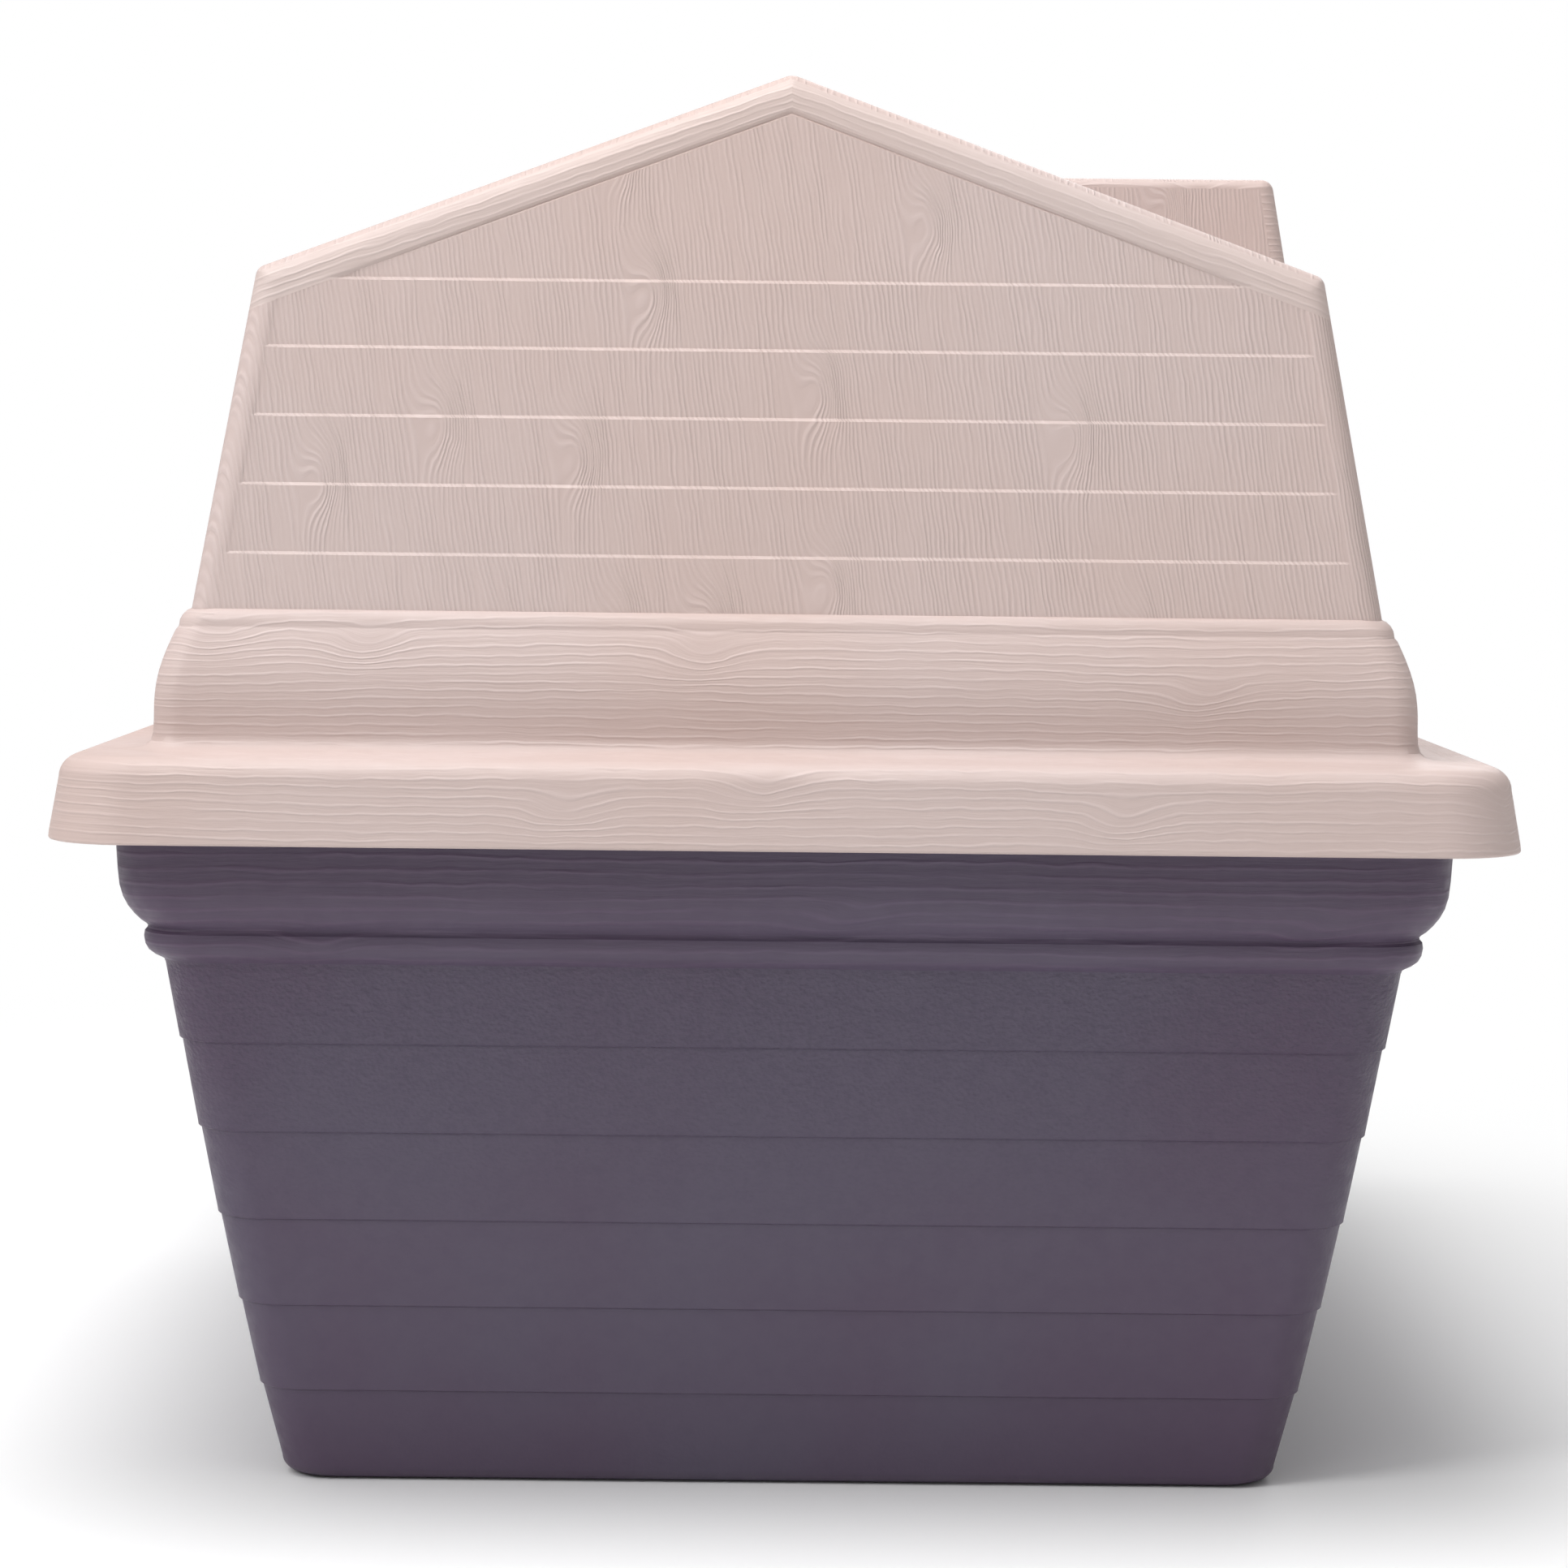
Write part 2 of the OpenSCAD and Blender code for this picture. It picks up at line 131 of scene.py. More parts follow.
def pale_floor():
    """A plain floor that fades into white away from the house."""
    mesh = bpy.data.meshes.new("floor")
    bm = bmesh.new()
    corners = [bm.verts.new((x, y, -0.0004)) for x, y in ((-9, -9), (9, -9), (9, 9), (-9, 9))]
    bm.faces.new(corners)
    bm.to_mesh(mesh)
    bm.free()
    floor = bpy.data.objects.new("floor", mesh)
    bpy.context.scene.collection.objects.link(floor)
    paint = bpy.data.materials.new("pale_floor")
    paint.use_nodes = True
    tree = paint.node_tree
    body = tree.nodes["Principled BSDF"]
    body.inputs["Base Color"].default_value = (0.93, 0.93, 0.93, 1.0)
    body.inputs["Roughness"].default_value = 0.9
    place = tree.nodes.new("ShaderNodeTexCoord")
    reach = tree.nodes.new("ShaderNodeVectorMath")
    reach.operation = "LENGTH"
    far = tree.nodes.new("ShaderNodeMapRange")
    far.interpolation_type = "SMOOTHSTEP"
    far.inputs["From Min"].default_value = 0.7
    far.inputs["From Max"].default_value = 1.8
    glow = tree.nodes.new("ShaderNodeEmission")
    either = tree.nodes.new("ShaderNodeMixShader")
    tree.links.new(place.outputs["Object"], reach.inputs[0])
    tree.links.new(reach.outputs["Value"], far.inputs["Value"])
    tree.links.new(far.outputs["Result"], either.inputs[0])
    tree.links.new(body.outputs[0], either.inputs[1])
    tree.links.new(glow.outputs[0], either.inputs[2])
    tree.links.new(either.outputs[0], tree.nodes["Material Output"].inputs["Surface"])
    mesh.materials.append(paint)


# ---- materials

def input_of(node, key):
    """A node's input by its name, with _ for a space, or by its number, as in i0."""
    if key[0] == "i" and key[1:].isdigit():
        return node.inputs[int(key[1:])]
    return node.inputs[key.replace("_", " ")]


class Finish:
    """A material on Object coordinates, with short calls for its nodes."""

    def __init__(self, name):
        self.material = bpy.data.materials.new(name)
        self.material.use_nodes = True
        self.tree = self.material.node_tree
        self.body = self.tree.nodes["Principled BSDF"]
        self.place = self.tree.nodes.new("ShaderNodeTexCoord").outputs["Object"]

    def node(self, kind, settings=None, **inputs):
        made = self.tree.nodes.new("ShaderNode" + kind)
        for key, value in (settings or {}).items():
            setattr(made, key, value)
        for key, value in inputs.items():
            self.feed(input_of(made, key), value)
        return made

    def feed(self, socket, value):
        if isinstance(value, bpy.types.NodeSocket):
            self.tree.links.new(value, socket)
        else:
            socket.default_value = value

    def math(self, operation, a, b=0.0, c=0.0):
        return self.node("Math", {"operation": operation}, i0=a, i1=b, i2=c).outputs[0]

    def split(self, vector):
        return self.node("SeparateXYZ", i0=vector).outputs

    def join(self, x, y, z):
        return self.node("CombineXYZ", i0=x, i1=y, i2=z).outputs[0]

    def stretch(self, vector, scale):
        return self.node("Mapping", i0=vector, Scale=scale).outputs[0]

    def noise(self, vector, scale, detail=2.0, rough=0.5):
        return self.node("TexNoise", Vector=vector, Scale=scale, Detail=detail, Roughness=rough).outputs[0]

    def ramp(self, value, low, high, to_low=0.0, to_high=1.0):
        made = self.node("MapRange", {"interpolation_type": "SMOOTHSTEP"},
                         i0=value, i1=low, i2=high, i3=to_low, i4=to_high)
        return made.outputs[0]

    def blend(self, amount, a, b):
        made = self.node("Mix", {"data_type": "RGBA"}, i0=amount)
        self.feed(made.inputs[6], a)
        self.feed(made.inputs[7], b)
        return made.outputs[2]

    def bump(self, height, strength, depth):
        made = self.node("Bump", Height=height, Strength=strength, Distance=depth)
        self.tree.links.new(made.outputs[0], self.body.inputs["Normal"])

    def surface(self, colour, rough, **sockets):
        self.feed(self.body.inputs["Base Color"], colour)
        self.feed(self.body.inputs["Roughness"], rough)
        for key, value in sockets.items():
            self.body.inputs[key.replace("_", " ")].default_value = value
        return self.material


def moulded_grain(finish, across, along, pitch, knots, sharp):
    """Height of moulded wood grain: wavering lines a pitch apart that close into loops round the knots."""
    flat = finish.join(across, finish.math("MULTIPLY", along, 0.22), 0.0)
    sway = finish.math("SUBTRACT", finish.noise(flat, 15.0, 2.0, 0.5), 0.5)
    near_flat = finish.join(across, finish.math("MULTIPLY", along, 0.45), 0.0)
    shiver = finish.math("SUBTRACT", finish.noise(near_flat, 85.0, 2.0, 0.5), 0.5)
    waver = finish.math("MULTIPLY_ADD", sway, 0.012, finish.math("MULTIPLY", shiver, 0.0036))
    line = finish.math("ADD", across, waver)
    cells = finish.join(line, finish.math("MULTIPLY", along, 0.50), 0.0)
    cell = finish.node("TexVoronoi", {"feature": "F1", "voronoi_dimensions": "2D"}, Vector=cells, Scale=15.0,
                       Randomness=0.85)
    centre = finish.split(cell.outputs["Position"])
    aside = finish.math("SUBTRACT", line, centre[0])
    beyond = finish.math("SUBTRACT", finish.math("MULTIPLY", along, 0.50), centre[1])
    tilt = finish.math("MULTIPLY_ADD", beyond, 0.35, aside)
    squares = finish.math("ADD", finish.math("POWER", tilt, 2.0), finish.math("POWER", beyond, 2.0))
    reach = finish.math("SQRT", squares)
    chosen = finish.ramp(finish.split(cell.outputs["Color"])[0], 0.35, 0.55)
    near = finish.math("POWER", finish.math("DIVIDE", reach, 0.0105), 2.0)
    bulge = finish.math("EXPONENT", finish.math("MULTIPLY", near, -1.0))
    eye = finish.math("MULTIPLY", finish.math("MULTIPLY", bulge, chosen), 0.0150 * knots)
    parted = finish.math("ADD", line, eye)
    wave = finish.math("SINE", finish.math("MULTIPLY", parted, 2.0 * math.pi / pitch))
    comb = finish.math("POWER", finish.math("MULTIPLY_ADD", wave, 0.5, 0.5), sharp)
    streak = finish.noise(finish.join(parted, finish.math("MULTIPLY", along, 0.10), 0.0), 150.0, 2.0)
    fade = finish.ramp(streak, 0.34, 0.60, 0.25, 1.0)
    hair = finish.noise(finish.join(parted, finish.math("MULTIPLY", along, 0.045), 0.0), 620.0, 3.0, 0.65)
    return finish.math("ADD", finish.math("MULTIPLY", finish.math("MULTIPLY", comb, fade), 0.60),
                       finish.math("MULTIPLY", hair, 0.60))


def blush_plastic(name, run, knots=1.0, pitch=0.0026, depth=0.0007, rake_highlight=0.0, sharp=1.3):
    """The roof's plastic. Its grain runs upright, level, along a slope's boards, or raked with the gable."""
    finish = Finish(name)
    x, y, z = finish.split(finish.place)
    if run == "upright":
        across, along = finish.math("ADD", x, y), z
    elif run == "level":
        across, along = z, finish.math("ADD", x, y)
    elif run == "slope":
        across, along = finish.math("MULTIPLY", x, 1.0 / math.cos(ROOF_PITCH)), y
    else:
        reach = finish.math("ABSOLUTE", x)
        c, s = math.cos(ROOF_PITCH), math.sin(ROOF_PITCH)
        along = finish.math("ADD", finish.math("MULTIPLY", reach, c), finish.math("MULTIPLY", z, -s))
        across = finish.math("ADD", finish.math("MULTIPLY", reach, s), finish.math("MULTIPLY", z, c))
    height = moulded_grain(finish, across, along, pitch, knots, sharp)
    cloud = finish.ramp(finish.noise(finish.place, 3.2, 3.0), 0.3, 0.7)
    tone = finish.blend(cloud, (0.582, 0.452, 0.415, 1.0), (0.597, 0.488, 0.463, 1.0))
    # Painted shade: the grain's valleys are darkened by up to 30% towards a deep blush.
    painted_valley_shade = finish.ramp(height, 0.2, 0.65, 0.55, 0.0)
    colour = finish.blend(finish.math("MULTIPLY", painted_valley_shade, 0.30), tone, (0.430, 0.310, 0.270, 1.0))
    # Painted highlight: the rake board's faces are blended towards a paler, greyer blush, as if lit from
    # above.
    if rake_highlight:
        colour = finish.blend(rake_highlight, colour, (0.68, 0.60, 0.56, 1.0))
    finish.bump(height, 0.75, depth)
    rough = finish.ramp(finish.noise(finish.place, 90.0, 2.0), 0.3, 0.7, 0.47, 0.58)
    return finish.surface(colour, rough, Specular_IOR_Level=0.42)


def slate_plastic(name, skin, tone_a=(0.080, 0.050, 0.090, 1.0), tone_b=(0.086, 0.069, 0.108, 1.0)):
    finish = Finish(name)
    x, y, z = finish.split(finish.place)
    cloud = finish.ramp(finish.noise(finish.place, 4.0, 3.0), 0.3, 0.7)
    tone = finish.blend(cloud, tone_a, tone_b)
    if skin == "grain":
        height = moulded_grain(finish, z, finish.math("ADD", x, y), 0.0070, 0.4, 4.0)
        finish.bump(height, 0.5, 0.0008)
        painted_crease_shade = finish.ramp(height, 0.2, 0.7, 0.35, 0.0)
    else:
        pebble = finish.node("TexVoronoi", {"feature": "SMOOTH_F1"}, Vector=finish.place, Scale=430.0,
                             Smoothness=0.6).outputs[0]
        crease = finish.noise(finish.stretch(finish.place, (1.0, 1.0, 1.7)), 300.0, 4.0, 0.6)
        grain = finish.math("ADD", finish.math("MULTIPLY", pebble, 0.5), crease)
        strong = finish.ramp(z, 0.10, 0.30, 0.12, 1.0)
        height = finish.math("MULTIPLY", grain, strong)
        finish.bump(height, 0.75, 0.0011)
        painted_crease_shade = finish.math("MULTIPLY", finish.ramp(crease, 0.35, 0.6, 0.4, 0.0), strong)
    # Painted shade: the grain's valleys, or the pebble's creases, are darkened towards a deep slate.
    colour = finish.blend(painted_crease_shade, tone, (0.055, 0.044, 0.072, 1.0))
    rough = finish.ramp(finish.noise(finish.place, 120.0, 2.0), 0.3, 0.7, 0.42, 0.56)
    return finish.surface(colour, rough, Specular_IOR_Level=0.45)


def fine_plastic(name, colour, grain=1.0, rough=0.5):
    finish = Finish(name)
    cloud = finish.ramp(finish.noise(finish.place, 14.0, 3.0), 0.3, 0.7, 0.0, 0.5)
    dusty = tuple(min(1.0, c * 1.25 + 0.012) for c in colour[:3]) + (1.0,)
    tone = finish.blend(cloud, colour, dusty)
    spark = finish.noise(finish.place, 900.0, 3.0, 0.6)
    finish.bump(spark, 0.35 * grain, 0.0005)
    sheen = finish.ramp(spark, 0.3, 0.7, rough - 0.06, rough + 0.08)
    return finish.surface(tone, sheen, Specular_IOR_Level=0.45)


def bare_metal(name, colour, rough):
    finish = Finish(name)
    scratch = finish.noise(finish.stretch(finish.place, (40.0, 900.0, 900.0)), 1.0, 3.0)
    tone = finish.blend(finish.ramp(scratch, 0.3, 0.7), colour, tuple(c * 0.8 for c in colour[:3]) + (1.0,))
    finish.bump(scratch, 0.12, 0.0003)
    return finish.surface(tone, finish.ramp(scratch, 0.3, 0.7, rough, rough + 0.15), Metallic=1.0)


def clear_sheet(name):
    finish = Finish(name)
    haze = finish.noise(finish.place, 30.0, 4.0)
    finish.bump(haze, 0.05, 0.0005)
    sheen = finish.ramp(haze, 0.3, 0.7, 0.06, 0.16)
    return finish.surface((0.80, 0.84, 0.86, 1.0), sheen, Alpha=0.35, IOR=1.49)


# ---- shapes

def ring(inset, radius, z, steps=12):
    """A rounded rectangle at a height, set in from the skirt's edge all round."""
    hx, hy = HALF_W - inset, HALF_L - inset
    points = []
    for corner in range(4):
        sx = 1 if corner in (0, 3) else -1
        sy = 1 if corner < 2 else -1
        for k in range(steps + 1):
            a = math.pi / 2 * (corner + k / steps)
            x = sx * (hx - radius) + radius * math.cos(a)
            y = sy * (hy - radius) + radius * math.sin(a)
            points.append((x, y, z))
    return points


def solid(name, rings):
    """A closed solid through a stack of rings, from the bottom up."""
    bm = bmesh.new()
    rows = [[bm.verts.new(p) for p in r] for r in rings]
    count = len(rows[0])
    for low, high in zip(rows, rows[1:]):
        for k in range(count):
            bm.faces.new((low[k], low[(k + 1) % count], high[(k + 1) % count], high[k]))
    bm.faces.new(list(reversed(rows[0])))
    bm.faces.new(rows[-1])
    return finished(name, bm)


def finished(name, bm):
    bmesh.ops.recalc_face_normals(bm, faces=bm.faces)
    mesh = bpy.data.meshes.new(name)
    bm.to_mesh(mesh)
    bm.free()
    made = bpy.data.objects.new(name, mesh)
    bpy.context.scene.collection.objects.link(made)
    return made


def block(name, low, high):
    bm = bmesh.new()
    bmesh.ops.create_cube(bm, size=1.0)
    for v in bm.verts:
        v.co = Vector([(low[i] + high[i]) / 2 + v.co[i] * (high[i] - low[i]) for i in range(3)])
    return finished(name, bm)


def rod(name, centre, axis, radius, length, sides=32):
    bm = bmesh.new()
    turn = Vector(axis).to_track_quat("Z", "Y").to_matrix().to_4x4()
    bmesh.ops.create_cone(bm, cap_ends=True, segments=sides, radius1=radius, radius2=radius, depth=length,
                          matrix=Matrix.Translation(centre) @ turn)
    return finished(name, bm)


def round_angles(sides):
    return [2.0 * math.pi * k / sides for k in range(sides)]


def turned(name, centre, outline, sides=48, radius_at=None):
    """A closed solid about the vertical, from points of height and radius.

    radius_at(angle, radius, height) gives a form that isn't round.
    """
    rings = []
    for z, r in outline:
        row = []
        for a in round_angles(sides):
            reach = r if radius_at is None else radius_at(a, r, z)
            row.append((centre[0] + reach * math.cos(a), centre[1] + reach * math.sin(a), centre[2] + z))
        rings.append(row)
    return solid(name, rings)


def arch(name, grow, y0, y1, foot_r=20.0, head_r=6.0):
    """A block with the doorway's outline, wider by grow on each side."""
    outline = []
    for sx, z, r, start in ((1, SILL_Z - grow, foot_r + grow, 3), (1, LINTEL_Z + grow, head_r + grow, 0),
                            (-1, LINTEL_Z + grow, head_r + grow, 1), (-1, SILL_Z - grow, foot_r + grow, 2)):
        cx = sx * (DOOR_X + grow - r)
        cz = z + r if z < RIM_Z else z - r
        for k in range(9):
            a = math.pi / 2 * (start + k / 8)
            outline.append((cx + r * math.cos(a), cz + r * math.sin(a)))
    return solid(name, [[(x, y, z) for x, z in outline] for y in (y0, y1)])


def bosses():
    return [(sx * BOSS_X, y) for sx in (-1, 1) for y in BOSS_YS]


def stack_face():
    """The chimney's outer face: Z outwards, X up the face."""
    face = Vector((STACK_X - STACK_LEAN * (STACK_TOP - VENT_Z), STACK_Y, VENT_Z))
    return Matrix.Translation(face) @ Matrix.Rotation(math.atan(STACK_LEAN) - math.pi / 2, 4, "Y")


def settle(piece):
    """Applies a piece's modifiers to its mesh."""
    bpy.context.view_layer.update()
    shaped = bpy.data.meshes.new_from_object(piece.evaluated_get(bpy.context.evaluated_depsgraph_get()))
    piece.modifiers.clear()
    old = piece.data
    piece.data = shaped
    bpy.data.meshes.remove(old)


def carve(piece, tool, how="DIFFERENCE"):
    cut = piece.modifiers.new("cut", "BOOLEAN")
    cut.operation = how
    cut.object = tool
    cut.solver = "EXACT"
    settle(piece)
    bpy.data.objects.remove(tool)


def smooth(piece, angle):
    """Smooth shading that stays flat on flat faces and sharp past the angle."""
    bm = bmesh.new()
    bm.from_mesh(piece.data)
    bmesh.ops.remove_doubles(bm, verts=bm.verts, dist=1e-6)
    bm.to_mesh(piece.data)
    bm.free()
    piece.data.shade_smooth()
    piece.data.set_sharp_from_angle(angle=math.radians(angle))
    weighted = piece.modifiers.new("flat_faces", "WEIGHTED_NORMAL")
    weighted.keep_sharp = True
    settle(piece)


def join_in(piece, other):
    """Adds another piece's mesh to this one, as it is."""
    bm = bmesh.new()
    bm.from_mesh(piece.data)
    bm.from_mesh(other.data)
    bm.to_mesh(piece.data)
    bm.free()
    bpy.data.objects.remove(other)


def slice_at(bm, place, normal):
    """Cuts a mesh's faces along a plane, and takes nothing away."""
    everything = bm.verts[:] + bm.edges[:] + bm.faces[:]
    return bmesh.ops.bisect_plane(bm, geom=everything, plane_co=place, plane_no=normal)["geom_cut"]


def in_metres(piece):
    piece.data.transform(Matrix.Scale(MM, 4))
    piece.data.update()


def rounded_block(name, points, faces, wide_edges, wide, narrow, segments=6):
    """A block with wide rounding on some edges, narrow on the others, and a sharp foot."""
    bm = bmesh.new()
    verts = [bm.verts.new(p) for p in points]
    for f in faces:
        bm.faces.new([verts[i] for i in f])
    weight = bm.edges.layers.float.new("bevel_weight_edge")
    low = min(p[2] for p in points)
    for e in bm.edges:
        a, b = (verts.index(v) for v in e.verts)
        if points[a][2] == low and points[b][2] == low:
            e[weight] = 0.0
        elif (a, b) in wide_edges or (b, a) in wide_edges:
            e[weight] = 1.0
        else:
            e[weight] = narrow / wide
    made = finished(name, bm)
    rounding = made.modifiers.new("rounding", "BEVEL")
    rounding.limit_method = "WEIGHT"
    rounding.width = wide
    rounding.segments = segments
    rounding.use_clamp_overlap = False
    settle(made)
    return made


# ---- roof moulding

def house_half(z):
    """How far the walls stand in from the skirt's edge at a height."""
    return HOUSE_INSET + WALL_LEAN * (z - HOUSE_Z)


def gabled_block(name, inward, edge, crisp):
    """The walls and the two slopes. Posts and rakes have the wide rounding, eaves and ridge the crisp one."""
    foot = 458.0
    rise = inward * 1.03
    fx, fy = HALF_W - house_half(foot) - inward, HALF_L - house_half(foot) - inward
    ex, ey = HALF_W - house_half(EAVE_Z) - inward, HALF_L - house_half(EAVE_Z) - inward
    ridge_y = HALF_L - house_half(RIDGE_Z) - inward
    eave, ridge = EAVE_Z - rise * 0.7, RIDGE_Z - rise * 1.04
    points = [(-fx, -fy, foot), (fx, -fy, foot), (fx, fy, foot), (-fx, fy, foot),
              (-ex, -ey, eave), (ex, -ey, eave), (ex, ey, eave), (-ex, ey, eave),
              (0, -ridge_y, ridge), (0, ridge_y, ridge)]
    faces = [(3, 2, 1, 0), (0, 1, 5, 8, 4), (2, 3, 7, 9, 6),
             (1, 2, 6, 5), (3, 0, 4, 7), (5, 6, 9, 8), (7, 4, 8, 9)]
    posts = {(0, 4), (1, 5), (2, 6), (3, 7)}
    rakes = {(4, 8), (5, 8), (6, 9), (7, 9)}
    return rounded_block(name, points, faces, posts | rakes, edge, crisp)


def stack_block(name, inward, foot, wide, narrow):
    """The chimney, which widens downwards and stands against the side wall."""
    drop = STACK_TOP - foot
    points = []
    for z, spread in ((foot, 1.0), (STACK_TOP - inward, 0.0)):
        x0 = STACK_X - STACK_LEAN * drop * spread + inward
        x1 = STACK_X + 132.0 + 20.0 * spread - inward
        half = 80.0 + 0.087 * drop * spread - inward
        y0, y1 = STACK_Y - half, STACK_Y + half
        points += [(x0, y0, z), (x1, y0, z), (x1, y1, z), (x0, y1, z)]
    faces = [(3, 2, 1, 0), (4, 5, 6, 7), (0, 1, 5, 4), (1, 2, 6, 5), (2, 3, 7, 6), (3, 0, 4, 7)]
    return rounded_block(name, points, faces, {(0, 4), (1, 5), (2, 6), (3, 7)}, wide, narrow)


def quarter(z0, i0, z1, i1, n, level_first):
    """A quarter round of a profile, from one height and inset to another."""
    points = []
    for k in range(n + 1):
        a = math.pi / 2 * k / n
        if level_first:
            points.append((z1 - (z1 - z0) * math.cos(a), i0 + (i1 - i0) * math.sin(a)))
        else:
            points.append((z0 + (z1 - z0) * math.sin(a), i1 - (i1 - i0) * math.cos(a)))
    return points


def corner_radius(inset):
    """Plan radius of the skirt's and the cove's corners, which stay concentric until the cove."""
    return max(15.0, 46.0 - 0.8 * inset)


def lap_cuts():
    """Planes that the gable, side and roof faces are cut along, so that their relief has edges to follow."""
    for z in LAP_ZS:
        for step in (LAP_START, LAP_MIDDLE, LAP_END):
            yield (0, 0, z + step), (0, 0, 1)
    for sx in (-1, 1):
        for down in (RAKE_DEEP - 5.0, RAKE_DEEP - 2.0, RAKE_DEEP - 0.7, RAKE_DEEP, RAKE_DEEP + 0.9):
            yield (0, 0, RIDGE_Z - down), (sx * math.sin(ROOF_PITCH), 0, math.cos(ROOF_PITCH))
        for inset in (POST_W, POST_W + 1.5):
            yield (sx * (HALF_W - house_half(HOUSE_Z) - inset), 0, HOUSE_Z), (1, 0, sx * WALL_LEAN)
            yield (0, sx * (HALF_L - house_half(HOUSE_Z) - inset), HOUSE_Z), (0, 1, sx * WALL_LEAN)
        for step in (-40.0, -55.0, -16.0):
            yield (sx * (HALF_W - house_half(EAVE_Z) + step), 0, 0), (1, 0, 0)
        for lap in SLOPE_LAPS:
            for step in (LAP_START, LAP_MIDDLE, LAP_END):
                yield (sx * (lap + step), 0, 0), (1, 0, 0)


def fall(value, low, high):
    """0 at low, 1 at high, and even between them."""
    return min(1.0, max(0.0, (value - low) / (high - low)))


def slope_height(x):
    return RIDGE_Z - abs(x) * math.tan(ROOF_PITCH)


def board_relief(z):
    """How far the boards' faces lie behind the wall's plane: each laps over the one above it."""
    for line in reversed(LAP_ZS):
        if z > line + LAP_START:
            if z < line + LAP_END:
                return LAP_DEEP * fall(z, line + LAP_START, line + LAP_END)
            if z < line + LAP_END + BOARD_FACE:
                return LAP_DEEP * (1.0 - (z - line - LAP_END) / BOARD_FACE)
            return 0.0
    return LAP_DEEP * (1.0 - fall(z, LAP_ZS[0] - 35.8, LAP_ZS[0] + LAP_START))


def slope_relief(aside):
    """The slopes' boards run level, and each laps over the next one down."""
    for line in reversed(SLOPE_LAPS):
        if aside > line + LAP_START:
            if aside < line + LAP_END:
                return LAP_DEEP * fall(aside, line + LAP_START, line + LAP_END)
            return LAP_DEEP * (1.0 - fall(aside, line + LAP_END, line + 54.0))
    return 0.0


def rake_relief(below):
    """The rake board's lower edge rounds off into a fine groove above the boards."""
    if below < RAKE_DEEP:
        eased = 0.25 * fall(below, RAKE_DEEP - 5.0, RAKE_DEEP - 2.0)
        return eased + 1.35 * fall(below, RAKE_DEEP - 2.0, RAKE_DEEP)
    return 1.6 - 1.2 * fall(below, RAKE_DEEP, RAKE_DEEP + 0.9)


def relieve_house(house):
    """Cuts the boards' laps and the rake boards into the block's faces."""
    bm = bmesh.new()
    bm.from_mesh(house.data)
    for place, normal in lap_cuts():
        slice_at(bm, place, normal)
    bm.normal_update()
    for v in bm.verts:
        x, y, z = v.co
        if z < HOUSE_Z:
            continue
        edge_x = HALF_W - house_half(min(z, EAVE_Z)) - abs(x)
        edge_y = HALF_L - house_half(z) - abs(y)
        if edge_y < 9 and abs(v.normal.y) > 0.6:
            below = slope_height(x) - z
            inner = fall(edge_x, POST_W, POST_W + 1.5)
            boards = fall(below, RAKE_DEEP, RAKE_DEEP + 0.9)
            rake = rake_relief(below) * fall(HALF_W - house_half(EAVE_Z) - abs(x), 40.0, 55.0)
            sink = rake * (1.0 - fall(below, RAKE_DEEP + 0.9, RAKE_DEEP + 30.0))
            sink += inner * boards * board_relief(z)
            v.co.y -= math.copysign(sink, y)
        elif edge_x < 9 and abs(v.normal.x) > 0.6:
            inner = fall(edge_y, POST_W, POST_W + 1.5) * (1.0 - fall(z, 641.0, 643.0))
            v.co.x -= math.copysign(inner * board_relief(z), x)
        elif v.normal.z > 0.85 and z > EAVE_Z:
            sink = fall(edge_y, POST_W, POST_W + 1.5) * slope_relief(abs(x))
            v.co.x -= math.copysign(sink * math.sin(ROOF_PITCH), x)
            v.co.z -= sink * math.cos(ROOF_PITCH)
    bm.to_mesh(house.data)
    bm.free()


